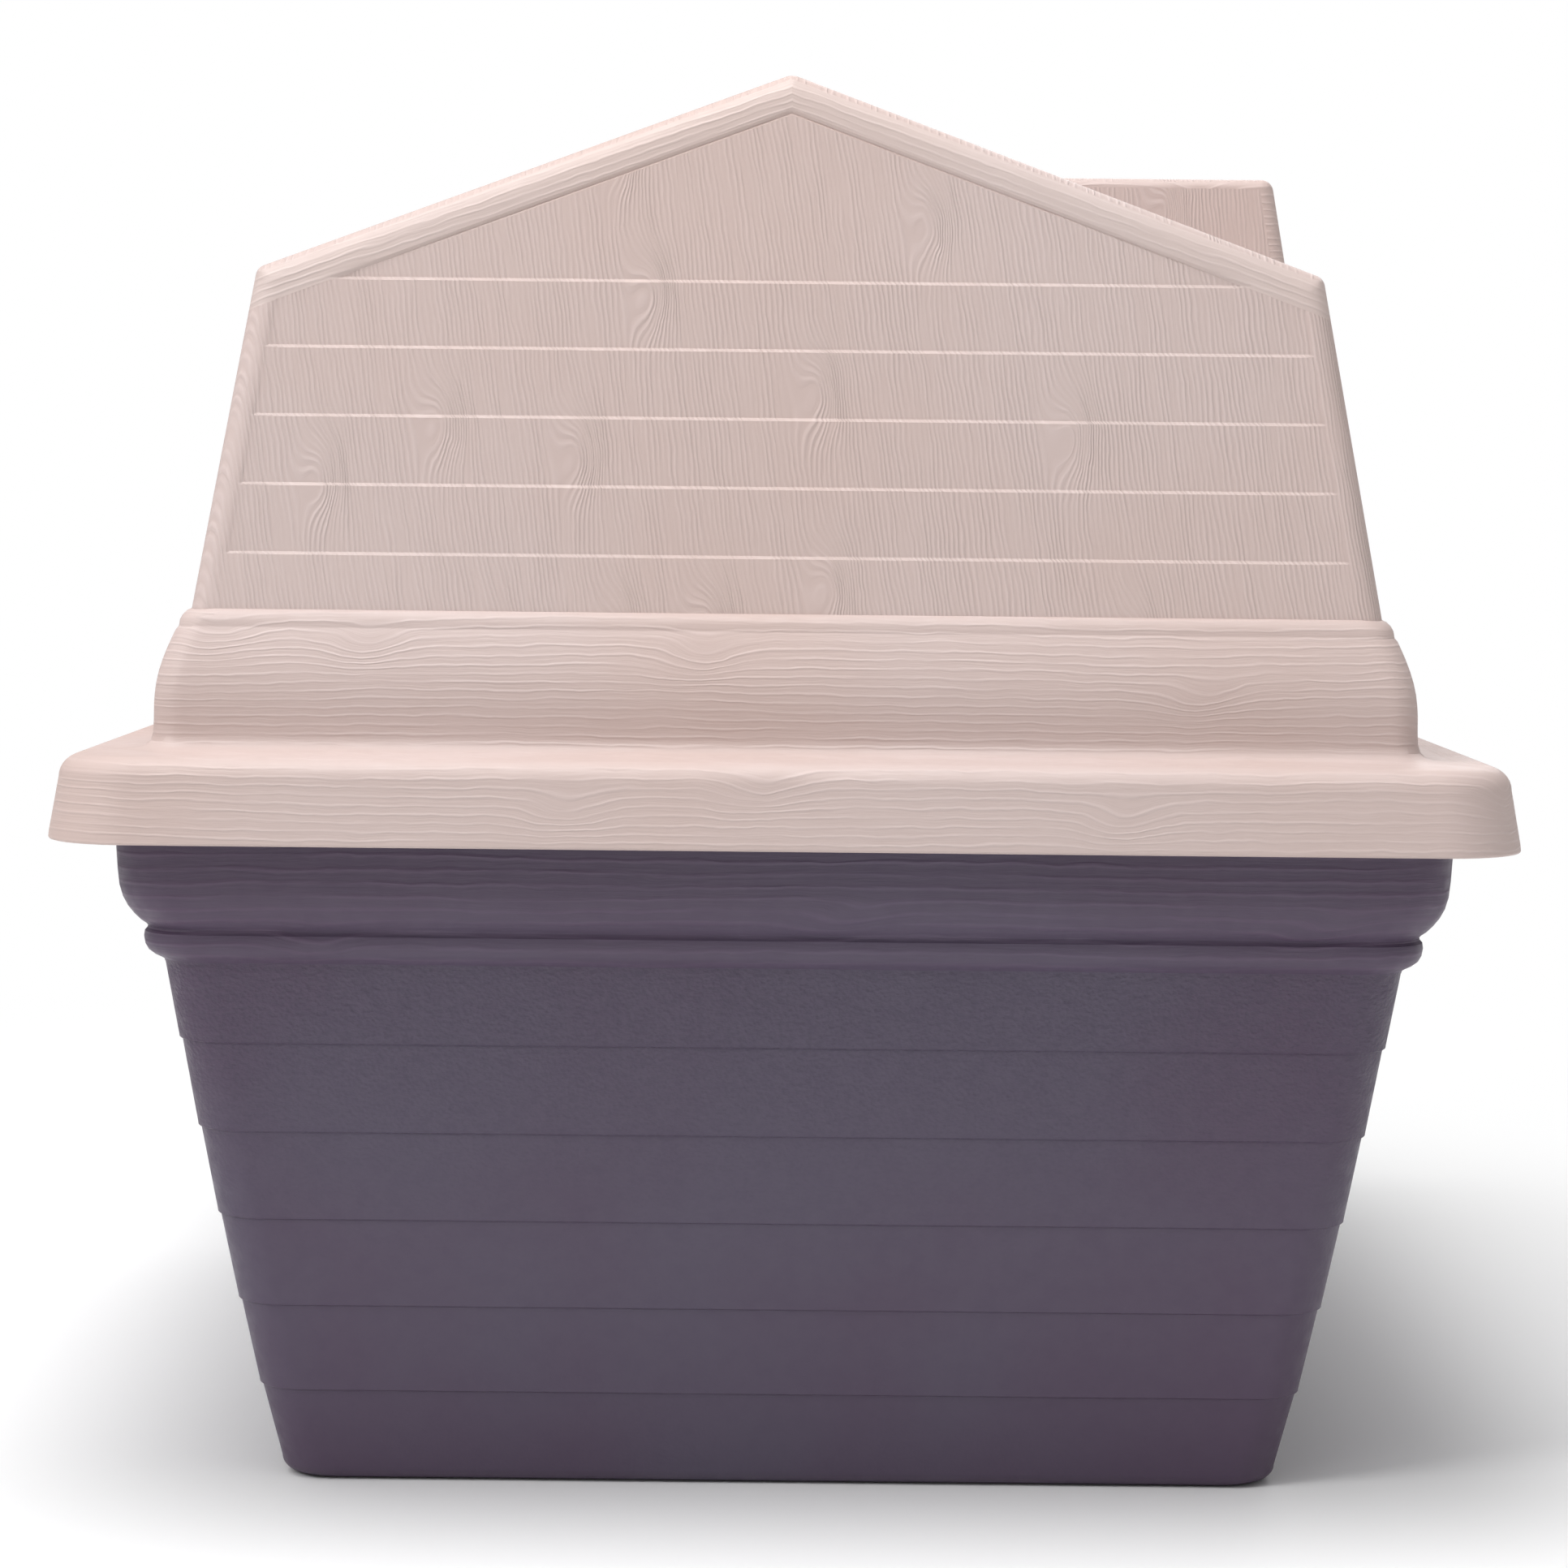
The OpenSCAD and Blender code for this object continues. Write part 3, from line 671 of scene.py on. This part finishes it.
def roof_skin():
    """The roof moulding. The outline's points are height and inset, from the skirt's edge up to the cove."""
    outline = [(352.0, 1.6), (352.3, 0.6), (353.2, 0.1), (356.0, 0.4), (370.0, 2.9), (378.0, 4.3)]
    outline += quarter(383.5, 5.3, 396.0, 18.5, 8, False)
    outline += [(396.5, 32.0), (397.2, 42.0), (398.6, 46.4), (401.2, 49.2), (405.0, 50.4), (412.0, 50.7),
                (420.0, 50.8), (425.0, 51.1), (431.0, 51.8), (437.0, 53.0), (443.0, 54.7), (449.0, 56.8),
                (454.0, 58.8), (458.2, 60.6), (459.8, 61.9), (460.8, 62.1), (463.4, 62.5), (466.0, 63.8),
                (468.2, 65.9), (469.4, 68.6), (469.7, 72.0), (469.8, 80.0)]
    shell = solid("roof_skin", [ring(i, corner_radius(i), z) for z, i in outline])
    house = gabled_block("house", 0.0, 11.0, 3.5)
    relieve_house(house)
    stack = stack_block("stack", 0.0, 394.0, 9.0, 6.0)
    carve(house, stack, "UNION")
    carve(shell, house, "UNION")
    boss = [(393.0, 12.9), (398.2, 12.9), (398.8, 12.6), (399.0, 12.0)]
    for x, y in bosses():
        carve(shell, turned("boss", (x, y, 0.0), boss), "UNION")

    hollow = [(340.0, 4.2), (351.9, 4.2), (384.0, 9.8), (392.3, 11.5), (392.31, 54.7), (431.0, 55.8),
              (450.0, 60.6), (464.0, 72.0), (469.0, 76.0)]
    carve(shell, solid("hollow", [ring(i, max(12.0, 42.0 - 0.8 * i), z, 8) for z, i in hollow]))
    carve(shell, gabled_block("house_hollow", 4.3, 8.0, 3.0))
    carve(shell, stack_block("stack_hollow", 4.0, 406.0, 6.0, 3.0))
    carve(shell, arch("doorway", JAMB + GAP, *DOOR_CUT))
    casing = DOOR_X + CASING_W + GAP
    carve(shell, block("casing_seat", (-casing, -600.0, 340.0), (casing, -465.0, 400.0)))
    for x, y in bosses():
        carve(shell, rod("screw_hole", (x, y, RIM_Z), (0, 0, 1), 4.0, 30.0))
    vent = block("vent_hole", (-22.0, -54.0, -12.0), (22.0, 54.0, 5.0))
    vent.data.transform(stack_face())
    carve(shell, vent)
    smooth(shell, 32.0)
    return shell


def dress_roof(shell, boards, level, rake, slope):
    """Gives each face of the roof the grain of the board it stands for."""
    for m in (boards, level, rake, slope):
        shell.data.materials.append(m)
    for face in shell.data.polygons:
        x, y, z = face.center
        n = face.normal
        past_wall = x < -(HALF_W - house_half(min(z, EAVE_Z))) - 1.5
        above_slope = z > slope_height(x) + 1.5
        in_stack = x < -150 and abs(y - STACK_Y) < 115 and (past_wall or above_slope)
        in_house = z > HOUSE_Z + 0.8 and not in_stack
        if n.z > 0.75 and (in_stack or in_house):
            face.material_index = 3
        elif not in_house:
            face.material_index = 1
        elif abs(n.y) > 0.35 and slope_height(x) - z < RAKE_DEEP + 0.4:
            face.material_index = 2
        else:
            face.material_index = 0


# ---- tub

def tub_inset(z):
    """How far the tub's wall stands in from the skirt's edge: it leans out, and bellies a little."""
    return TUB_INSET - TUB_LEAN * z - 2.2 * math.sin(math.pi * min(z, 300.0) / 300.0)


def tub_radius(z):
    return 24.0 + z / PARTING_Z * 6.0


def tub_skin():
    """The tub moulding. The outline's points are height and inset: foot, laps, bead, band and rim."""
    outline = quarter(0.0, tub_inset(0) + 8.0, 9.0, tub_inset(9) + 0.9, 7, True)
    lap = ((-1.0, 0.8), (-0.3, 0.75), (0.1, -0.2), (0.6, -0.65), (1.6, -0.75))
    for z in TUB_LAPS:
        outline += [(z + up, tub_inset(z) + back) for up, back in lap]
    outline += [(284.0, 53.9), (286.2, 53.2), (287.4, 51.6), (289.2, 48.8), (291.6, 46.3), (294.8, 44.8),
                (298.6, 44.2), (301.6, 44.6), (303.0, 45.8), (304.2, 46.0), (305.4, 45.2), (307.5, 42.8),
                (311.0, 39.9), (315.5, 37.0), (320.5, 34.8), (326.5, 33.3), (335.0, 32.5), (352.0, 31.6),
                (378.0, 31.2), (388.0, 15.0), (388.5, 14.2), (391.5, 14.0), (392.0, 14.6)]
    tub = solid("tub_skin", [ring(i, 40.0 if z > 385 else tub_radius(z), z) for z, i in outline])
    for x, y in bosses():
        carve(tub, turned("rim_boss", (x, y, 0.0), [(377.0, 9.0), (391.4, 9.0), (392.0, 8.4)]), "UNION")
    hollow = [(4.0, tub_inset(0) + 24.0), (6.0, tub_inset(6) + 16.0), (10.0, tub_inset(10) + 9.0),
              (20.0, tub_inset(20) + 4.6), (284.0, tub_inset(284) + 4.0), (296.0, 53.0), (304.0, 50.0),
              (322.0, 40.0), (330.0, 37.2), (396.0, 35.5)]
    carve(tub, solid("tub_hollow", [ring(i, max(tub_radius(z) - 4.0, 16.0), z, 8) for z, i in hollow]))
    carve(tub, arch("doorway", JAMB + GAP, *DOOR_CUT))
    carve(tub, rod("drain", (DRAIN[0], DRAIN[1], 2.0), (0, 0, 1), 14.0, 20.0, 48))
    for x, y in bosses():
        carve(tub, rod("insert_hole", (x, y, 386.0), (0, 0, 1), 5.0, 19.0))
    smooth(tub, 32.0)
    return tub


def dress_tub(tub, wall, band):
    """Gives the tub's wall the pebbled skin, and its bead, band and rim the grain."""
    tub.data.materials.append(wall)
    tub.data.materials.append(band)
    for face in tub.data.polygons:
        face.material_index = 1 if face.center.z > 286.5 else 0


# ---- repeated pieces

class Repeat:
    """A Geometry Nodes tree with named inputs, run once on a mesh of places and turned into a plain mesh."""

    def __init__(self, name, sizes):
        self.tree = bpy.data.node_groups.new(name, "GeometryNodeTree")
        self.sizes = sizes
        self.sockets = {}
        self.tree.interface.new_socket("Places", in_out="INPUT", socket_type="NodeSocketGeometry")
        self.tree.interface.new_socket("Finished", in_out="OUTPUT", socket_type="NodeSocketGeometry")
        for label, value in sizes.items():
            kind = "NodeSocketInt" if isinstance(value, int) else "NodeSocketFloat"
            made = self.tree.interface.new_socket(label, in_out="INPUT", socket_type=kind)
            self.sockets[label] = made.identifier
        stuff = self.tree.interface.new_socket("Finish", in_out="INPUT", socket_type="NodeSocketMaterial")
        self.finish_socket = stuff.identifier
        self.inputs = self.tree.nodes.new("NodeGroupInput").outputs
        self.places = self.inputs["Places"]

    def node(self, kind, settings=None, **inputs):
        made = self.tree.nodes.new(kind)
        for key, value in (settings or {}).items():
            setattr(made, key, value)
        for key, value in inputs.items():
            self.feed(input_of(made, key), value)
        return made

    def feed(self, socket, value):
        if isinstance(value, bpy.types.NodeSocket):
            self.tree.links.new(value, socket)
        elif isinstance(value, (list, tuple)) and value and isinstance(value[0], bpy.types.NodeSocket):
            for one in value:
                self.tree.links.new(one, socket)
        else:
            socket.default_value = value

    def math(self, operation, a, b=0.0):
        return self.node("ShaderNodeMath", {"operation": operation}, i0=a, i1=b).outputs[0]

    def triple(self, x, y, z):
        return self.node("ShaderNodeCombineXYZ", i0=x, i1=y, i2=z).outputs[0]

    def run(self, name, shape, places, finish):
        """Puts the shape at every place, and returns the plain mesh as a new piece."""
        copies = self.node("GeometryNodeInstanceOnPoints", Points=self.places, Instance=shape).outputs[0]
        real = self.node("GeometryNodeRealizeInstances", i0=copies).outputs[0]
        dressed = self.node("GeometryNodeSetMaterial", Geometry=real,
                            Material=self.inputs["Finish"]).outputs[0]
        self.tree.links.new(dressed, self.tree.nodes.new("NodeGroupOutput").inputs[0])
        bm = bmesh.new()
        for place in places:
            bm.verts.new(place)
        mesh = bpy.data.meshes.new(name)
        bm.to_mesh(mesh)
        bm.free()
        piece = bpy.data.objects.new(name, mesh)
        bpy.context.scene.collection.objects.link(piece)
        live = piece.modifiers.new("repeat", "NODES")
        live.node_group = self.tree
        for label, value in self.sizes.items():
            live[self.sockets[label]] = value
        live[self.finish_socket] = finish
        settle(piece)
        piece.data.materials.clear()
        piece.data.materials.append(finish)
        for face in piece.data.polygons:
            face.material_index = 0
        return piece


def pan_screws(name, places, turn, radius, height, finish):
    """Pan-head screws with a cross recess, standing along the turn's Z at each place."""
    tree = Repeat("pan_screws", {"Head Radius": radius, "Head Height": height, "Recess Width": radius * 0.24,
                                 "Recess Length": radius * 1.1})
    size = tree.inputs
    ball = tree.node("GeometryNodeMeshUVSphere", Segments=32, Rings=16, Radius=1.0).outputs[0]
    squashed = tree.node("GeometryNodeTransform", Geometry=ball, Scale=tree.triple(
        size["Head Radius"], size["Head Radius"], size["Head Height"])).outputs[0]
    bars = []
    for x, y in (("Recess Length", "Recess Width"), ("Recess Width", "Recess Length")):
        extent = tree.triple(size[x], size[y], size["Head Height"])
        bar = tree.node("GeometryNodeMeshCube", Size=extent).outputs[0]
        lift = tree.triple(0.0, 0.0, size["Head Height"])
        bars.append(tree.node("GeometryNodeTransform", Geometry=bar, Translation=lift).outputs[0])
    cross = tree.node("GeometryNodeMeshBoolean", {"operation": "UNION", "solver": "EXACT"},
                      i1=bars).outputs[0]
    head = tree.node("GeometryNodeMeshBoolean", {"operation": "DIFFERENCE", "solver": "EXACT"},
                     i0=squashed, i1=cross).outputs[0]
    piece = tree.run(name, head, [turn.inverted() @ Vector(p) for p in places], finish)
    piece.data.transform(turn)
    smooth(piece, 35.0)
    return piece


def rounded_plan(tree, width, length, radius, steps):
    """The outline of a plate, slot or rib with rounded corners."""
    plan = tree.node("GeometryNodeCurvePrimitiveQuadrilateral", Width=width, Height=length).outputs[0]
    return tree.node("GeometryNodeFilletCurve", {"mode": "POLY"}, Curve=plan, Count=steps,
                     Radius=radius).outputs[0]


def raised_plan(tree, plan, fill, height):
    """Fills outlines and raises them into a closed solid."""
    flat = tree.node("GeometryNodeFillCurve", {"mode": fill}, i0=plan).outputs[0]
    raised = tree.node("GeometryNodeExtrudeMesh", {"mode": "FACES"}, Mesh=flat, Individual=False,
                       Offset=tree.triple(0.0, 0.0, 1.0), Offset_Scale=height).outputs[0]
    back = tree.node("GeometryNodeFlipFaces", Mesh=flat).outputs[0]
    whole = tree.node("GeometryNodeJoinGeometry", i0=[raised, back]).outputs[0]
    return tree.node("GeometryNodeMergeByDistance", Geometry=whole, Distance=0.001).outputs[0]


def slotted_plate(name, half_x, half_y, corner, thick, count, finish, easing=0.6, shift=0.0):
    """A plate with rounded corners and a row of round-ended slots along Y."""
    tree = Repeat("slotted_plate", {"Plate Width": 2 * half_x, "Plate Length": 2 * half_y,
                                    "Corner Radius": corner, "Slot Count": count, "Slot Pitch": SLOT_PITCH,
                                    "Slot Width": SLOT_W, "Slot Length": SLOT_L, "Slot Shift": shift,
                                    "Thickness": thick})
    size = tree.inputs
    rim = rounded_plan(tree, size["Plate Width"], size["Plate Length"], size["Corner Radius"], 8)
    bend = tree.math("MULTIPLY", size["Slot Width"], 0.499)
    slot = rounded_plan(tree, size["Slot Length"], size["Slot Width"], bend, 6)
    first = tree.math("MULTIPLY", tree.math("MULTIPLY", tree.math("SUBTRACT", size["Slot Count"], 1.0),
                                            size["Slot Pitch"]), -0.5)
    first = tree.math("ADD", first, size["Slot Shift"])
    row = tree.node("GeometryNodeMeshLine", {"mode": "OFFSET"}, Count=size["Slot Count"],
                    Start_Location=tree.triple(0.0, first, 0.0),
                    Offset=tree.triple(0.0, size["Slot Pitch"], 0.0))
    holes = tree.node("GeometryNodeInstanceOnPoints", Points=row.outputs[0], Instance=slot).outputs[0]
    holes = tree.node("GeometryNodeRealizeInstances", i0=holes).outputs[0]
    both = tree.node("GeometryNodeJoinGeometry", i0=[rim, holes]).outputs[0]
    whole = raised_plan(tree, both, "TRIANGLES", size["Thickness"])
    piece = tree.run(name, whole, [(0.0, 0.0, 0.0)], finish)
    ease(piece, easing, 50.0)
    return piece


def floor_rib_row(finish):
    """The round-ended ribs on the tub's floor."""
    tree = Repeat("floor_ribs", {"Rib Width": 8.0, "Rib Length": 480.0, "Rib Height": 1.7})
    size = tree.inputs
    bend = tree.math("MULTIPLY", size["Rib Width"], 0.499)
    plan = rounded_plan(tree, size["Rib Width"], size["Rib Length"], bend, 6)
    whole = raised_plan(tree, plan, "NGONS", size["Rib Height"])
    piece = tree.run("floor_ribs", whole, [(x, -60.0, 3.8) for x in range(-200, 201, 50)], finish)
    ease(piece, 0.7, 50.0)
    return piece


# ---- fittings

def ease(piece, width, angle):
    """Rounds every edge sharper than the angle, as a moulder would."""
    rounding = piece.modifiers.new("rounding", "BEVEL")
    rounding.limit_method = "ANGLE"
    rounding.angle_limit = math.radians(angle)
    rounding.width = width
    rounding.segments = 3
    rounding.miter_outer = "MITER_ARC"
    settle(piece)
    smooth(piece, 38.0)


def eased_copy(node, name, width, halves=()):
    """A node's own shape in millimetres, with its flat faces whole and its edges rounded.

    A face with an opening in it stays in halves, on either side of a plane through the opening.
    """
    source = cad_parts[node]
    bm = bmesh.new()
    bm.from_mesh(source.data)
    bmesh.ops.scale(bm, vec=(1.0 / MM,) * 3, verts=bm.verts)
    bmesh.ops.remove_doubles(bm, verts=bm.verts, dist=0.01)
    for place, normal in halves:
        for part in slice_at(bm, place, normal):
            if isinstance(part, bmesh.types.BMEdge):
                part.seam = True
    bmesh.ops.dissolve_limit(bm, angle_limit=math.radians(1.0), verts=bm.verts, edges=bm.edges,
                             delimit={"SEAM"})
    piece = finished(name, bm)
    ease(piece, width, 40.0)
    return piece


def thumb_knob(name, x, y):
    """A six-lobed knob with a collar below and a crowned top."""
    def lobes(angle, r, z):
        if z < COLLAR_Z or r < 4.0:
            return r
        return r - 1.15 * (1.0 + math.cos(6.0 * angle)) * min(1.0, (r - 4.0) / 7.0)

    outline = [(0.3, 8.6), (0.5, 9.0), (4.0, 9.0), (4.1, 9.6), (4.2, 11.2), (4.6, 11.8), (5.2, 12.0),
               (13.6, 12.0), (14.6, 11.8), (15.3, 11.2), (15.7, 10.2), (15.8, 9.0), (15.6, 8.2), (15.4, 7.0),
               (15.4, 3.4), (15.5, 3.0), (15.7, 0.6)]
    knob = turned(name, (x, y, BOSS_TOP), outline, 96, lobes)
    carve(knob, rod("stud_hole", (x, y, BOSS_TOP + 5.0), (0, 0, 1), 3.0, 12.0))
    smooth(knob, 32.0)
    return knob


def drain_plug():
    """A soft plug with a sealing flange and a pull ring."""
    x, y = DRAIN
    outline = [(0.5, 12.6), (0.9, 13.4), (2.2, 13.75), (4.3, 13.6), (4.35, 18.4),
               (4.8, 18.9), (6.4, 18.9), (7.1, 18.2), (7.4, 16.4), (7.4, 3.0)]
    plug = turned("drain_plug_body", (x, y, 0.0), outline, 64)
    bm = bmesh.new()
    steps, sides = 48, 14
    rows = []
    for a in round_angles(steps):
        row = []
        for b in round_angles(sides):
            reach = 7.0 + 2.2 * math.cos(b)
            place = (x + reach * math.cos(a), y + 2.2 * math.sin(b), 13.0 + reach * math.sin(a))
            row.append(bm.verts.new(place))
        rows.append(row)
    for k in range(steps):
        for j in range(sides):
            near, far = rows[k], rows[(k + 1) % steps]
            bm.faces.new((near[j], far[j], far[(j + 1) % sides], near[(j + 1) % sides]))
    carve(plug, finished("pull_ring", bm), "UNION")
    smooth(plug, 35.0)
    plug.name = "drain_plug_rubber"
    return plug


def hinge_rod():
    """The rod that the flap hangs on, with chamfered ends."""
    half = DOOR_X + 7.0
    rings = []
    for x, r in ((-half, 2.2), (-half + 0.8, 3.0), (half - 0.8, 3.0), (half, 2.2)):
        rings.append([(x, FLAP_Y + r * math.cos(a), ROD_Z + r * math.sin(a)) for a in round_angles(32)])
    made = solid("hinge_rod_steel", rings)
    smooth(made, 40.0)
    return made


def stud(name, x, y):
    """A threaded stud: its ridges are plain rings, a pitch apart."""
    outline = [(RIM_Z - 13.0, 2.2)]
    z = RIM_Z - 12.4
    while z < BOSS_TOP - 1.0:
        outline += [(z, 2.55), (z + 0.5, 3.0), (z + 0.62, 3.0)]
        z += 1.0
    outline += [(BOSS_TOP, 3.0), (BOSS_TOP + 11.0, 3.0)]
    made = turned(name, (x, y, 0.0), outline, 32)
    smooth(made, 30.0)
    return made


def rim_insert_set():
    """The four threaded inserts in the tub's rim."""
    made = None
    outline = [(RIM_Z - 15.0, 4.6), (RIM_Z - 14.6, 5.0), (RIM_Z - 0.3, 5.0), (RIM_Z, 4.7)]
    for x, y in bosses():
        one = turned("insert", (x, y, 0.0), outline)
        carve(one, rod("bore", (x, y, RIM_Z - 7.0), (0, 0, 1), 3.08, 20.0))
        if made is None:
            made = one
        else:
            join_in(made, one)
    made.name = "rim_insert_brass"
    smooth(made, 30.0)
    return made


def vent_grille(finish):
    """The louvre on the chimney's face, with the rails behind it that the shutter slides in."""
    grille = slotted_plate("vent_louvre", 30.0, 66.0, 7.0, 3.0, 7, finish)
    rails = block("rails", (-21.7, -53.7, -7.3), (21.7, 53.7, 0.2))
    carve(rails, block("slide_channel", (-19.5, -52.5, -4.6), (19.5, 52.5, 0.5)))
    carve(rails, block("rail_opening", (-16.0, -50.0, -9.0), (16.0, 50.0, -4.0)))
    join_in(grille, rails)
    grille.data.transform(stack_face() @ Matrix.Translation((0.0, 0.0, GAP)))
    return grille


def vent_shutter(finish):
    """The slotted slider. Its last slot is open at the end, and a grip stands behind it."""
    shutter = slotted_plate("vent_shutter", 19.0, 47.5, 1.5, 2.0, 6, finish, 0.3, -4.0)
    carve(shutter, block("end_notch", (-15.0, 41.5, -1.0), (15.0, 50.0, 3.0)))
    carve(shutter, block("slide_grip", (-6.0, -6.5, -10.0), (6.0, -1.5, 1.0)), "UNION")
    shutter.data.transform(stack_face() @ Matrix.Translation((0.0, -3.0, -4.0)))
    return shutter


def trim_screw_places(upper):
    """Where the casing's screws stand, and how they turn to face out of the leaning wall."""
    turn = -math.atan(WALL_LEAN) if upper else math.atan(TUB_LEAN)
    facing = Matrix.Rotation(math.pi / 2 + turn, 4, "X")
    heights = (HOUSE_Z + 22.0, LINTEL_Z - 14.0) if upper else (SILL_Z + 20.0, PARTING_Z - 94.0)
    places = []
    for x in (-DOOR_X - JAMB - 11.0, DOOR_X + JAMB + 11.0):
        for z in heights:
            inset = house_half(z - 5.0) if upper else TUB_INSET - TUB_LEAN * z
            places.append((x, -HALF_L + inset - 10.0, z))
    return places, facing


# ---- assembly

def fit(piece, body, slot, finish, *nodes):
    """Gives a finished piece its place, its body, its material and the nodes that it stands for."""
    if not piece.data.materials:
        piece.data.materials.append(finish)
    in_metres(piece)
    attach(piece, body)
    if nodes:
        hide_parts(*nodes)


rear_camera()
pale_room()
studio_lights()
pale_floor()

roof = roof_skin()
dress_roof(roof,
           blush_plastic("blush_boards", "upright"),
           blush_plastic("blush_level", "level", knots=0.5, pitch=0.0045, depth=0.00055, sharp=5.0),
           blush_plastic("blush_rake", "raked", knots=0.0, pitch=0.0036, depth=0.0005, rake_highlight=0.20, sharp=3.0),
           blush_plastic("blush_slope", "slope", knots=0.8, pitch=0.0040, sharp=3.0))
in_metres(roof)
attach(roof, "roof")
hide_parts("roof_shell")

tub = tub_skin()
# The band's tones are set lighter than the wall's: painted light that lifts the shade under the skirt.
dress_tub(tub,
          slate_plastic("slate_wall", "pebble"),
          slate_plastic("slate_band", "grain", (0.093, 0.060, 0.103, 1.0), (0.102, 0.076, 0.122, 1.0)))
in_metres(tub)
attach(tub, "base")
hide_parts("base_shell")

trim = fine_plastic("dark_slate_trim", (0.050, 0.044, 0.066, 1.0))
knob = fine_plastic("knob_plastic", (0.035, 0.032, 0.045, 1.0), 1.0, 0.45)
slide = fine_plastic("slider_plastic", (0.090, 0.078, 0.110, 1.0))
rubber = fine_plastic("plug_rubber", (0.020, 0.020, 0.021, 1.0), 0.8, 0.6)
ferrite = fine_plastic("magnet_rubber", (0.012, 0.012, 0.013, 1.0), 0.6, 0.62)
steel = bare_metal("screw_steel", (0.55, 0.55, 0.56, 1.0), 0.28)
brass = bare_metal("insert_brass", (0.62, 0.44, 0.18, 1.0), 0.30)
clear = clear_sheet("clear_window")

fit(floor_rib_row(slate_plastic("slate_floor", "pebble")), "base", "tub", None)
fit(eased_copy("door_trim_lower", "lower_casing", 1.6), "base", "trim", trim, "door_trim_lower")
fit(eased_copy("door_trim_upper", "upper_casing", 1.6), "roof", "trim", trim, "door_trim_upper")
middle = ((0.0, 0.0, 0.0), (1.0, 0.0, 0.0))
through_rod = ((0.0, 0.0, ROD_Z), (0.0, 0.0, 1.0))
border = eased_copy("flap_frame", "flap_border", 1.5, (middle, through_rod))
fit(border, "flap", "trim", trim, "flap_frame")
fit(eased_copy("flap_window", "flap_pane", 0.8), "flap", "window", clear, "flap_window")
fit(eased_copy("flap_magnet", "flap_magnet_strip", 0.6), "flap", "magnet", ferrite, "flap_magnet")
fit(eased_copy("sill_magnet", "sill_magnet_strip", 0.5), "base", "magnet", ferrite, "sill_magnet")
fit(hinge_rod(), "roof", "steel", steel, "hinge_rod")
fit(drain_plug(), "plug", "plug", rubber, "drain_plug")
fit(rim_insert_set(), "base", "brass", brass, "rim_inserts")

for upper, body in ((False, "base"), (True, "roof")):
    places, facing = trim_screw_places(upper)
    level = "upper" if upper else "lower"
    screws = pan_screws(level + "_casing_screws", places, facing, 4.5, 2.0, steel)
    fit(screws, body, "steel", steel, "trim_screws_" + level)

for x, y in bosses():
    spot = ("left" if x < 0 else "right") + ("_front" if y < 0 else "_rear")
    fit(thumb_knob("knob_" + spot, x, y), "screw_" + spot, "knob", knob, "thumb_knob_" + spot)
    fit(stud("stud_" + spot, x, y), "screw_" + spot, "steel", steel, "thumb_stud_" + spot)

face = stack_face()
fit(vent_grille(trim), "roof", "trim", trim, "vent_grille")
fit(vent_shutter(slide), "slider", "slider", slide, "vent_slider")
spots = [face @ Vector((sx * 14.0, sy * 60.0, 3.3)) for sx in (-1, 1) for sy in (-1, 1)]
vent_screws = pan_screws("vent_face_screws", spots, face.to_3x3().to_4x4(), 3.0, 1.6, steel)
fit(vent_screws, "roof", "steel", steel, "vent_screws")
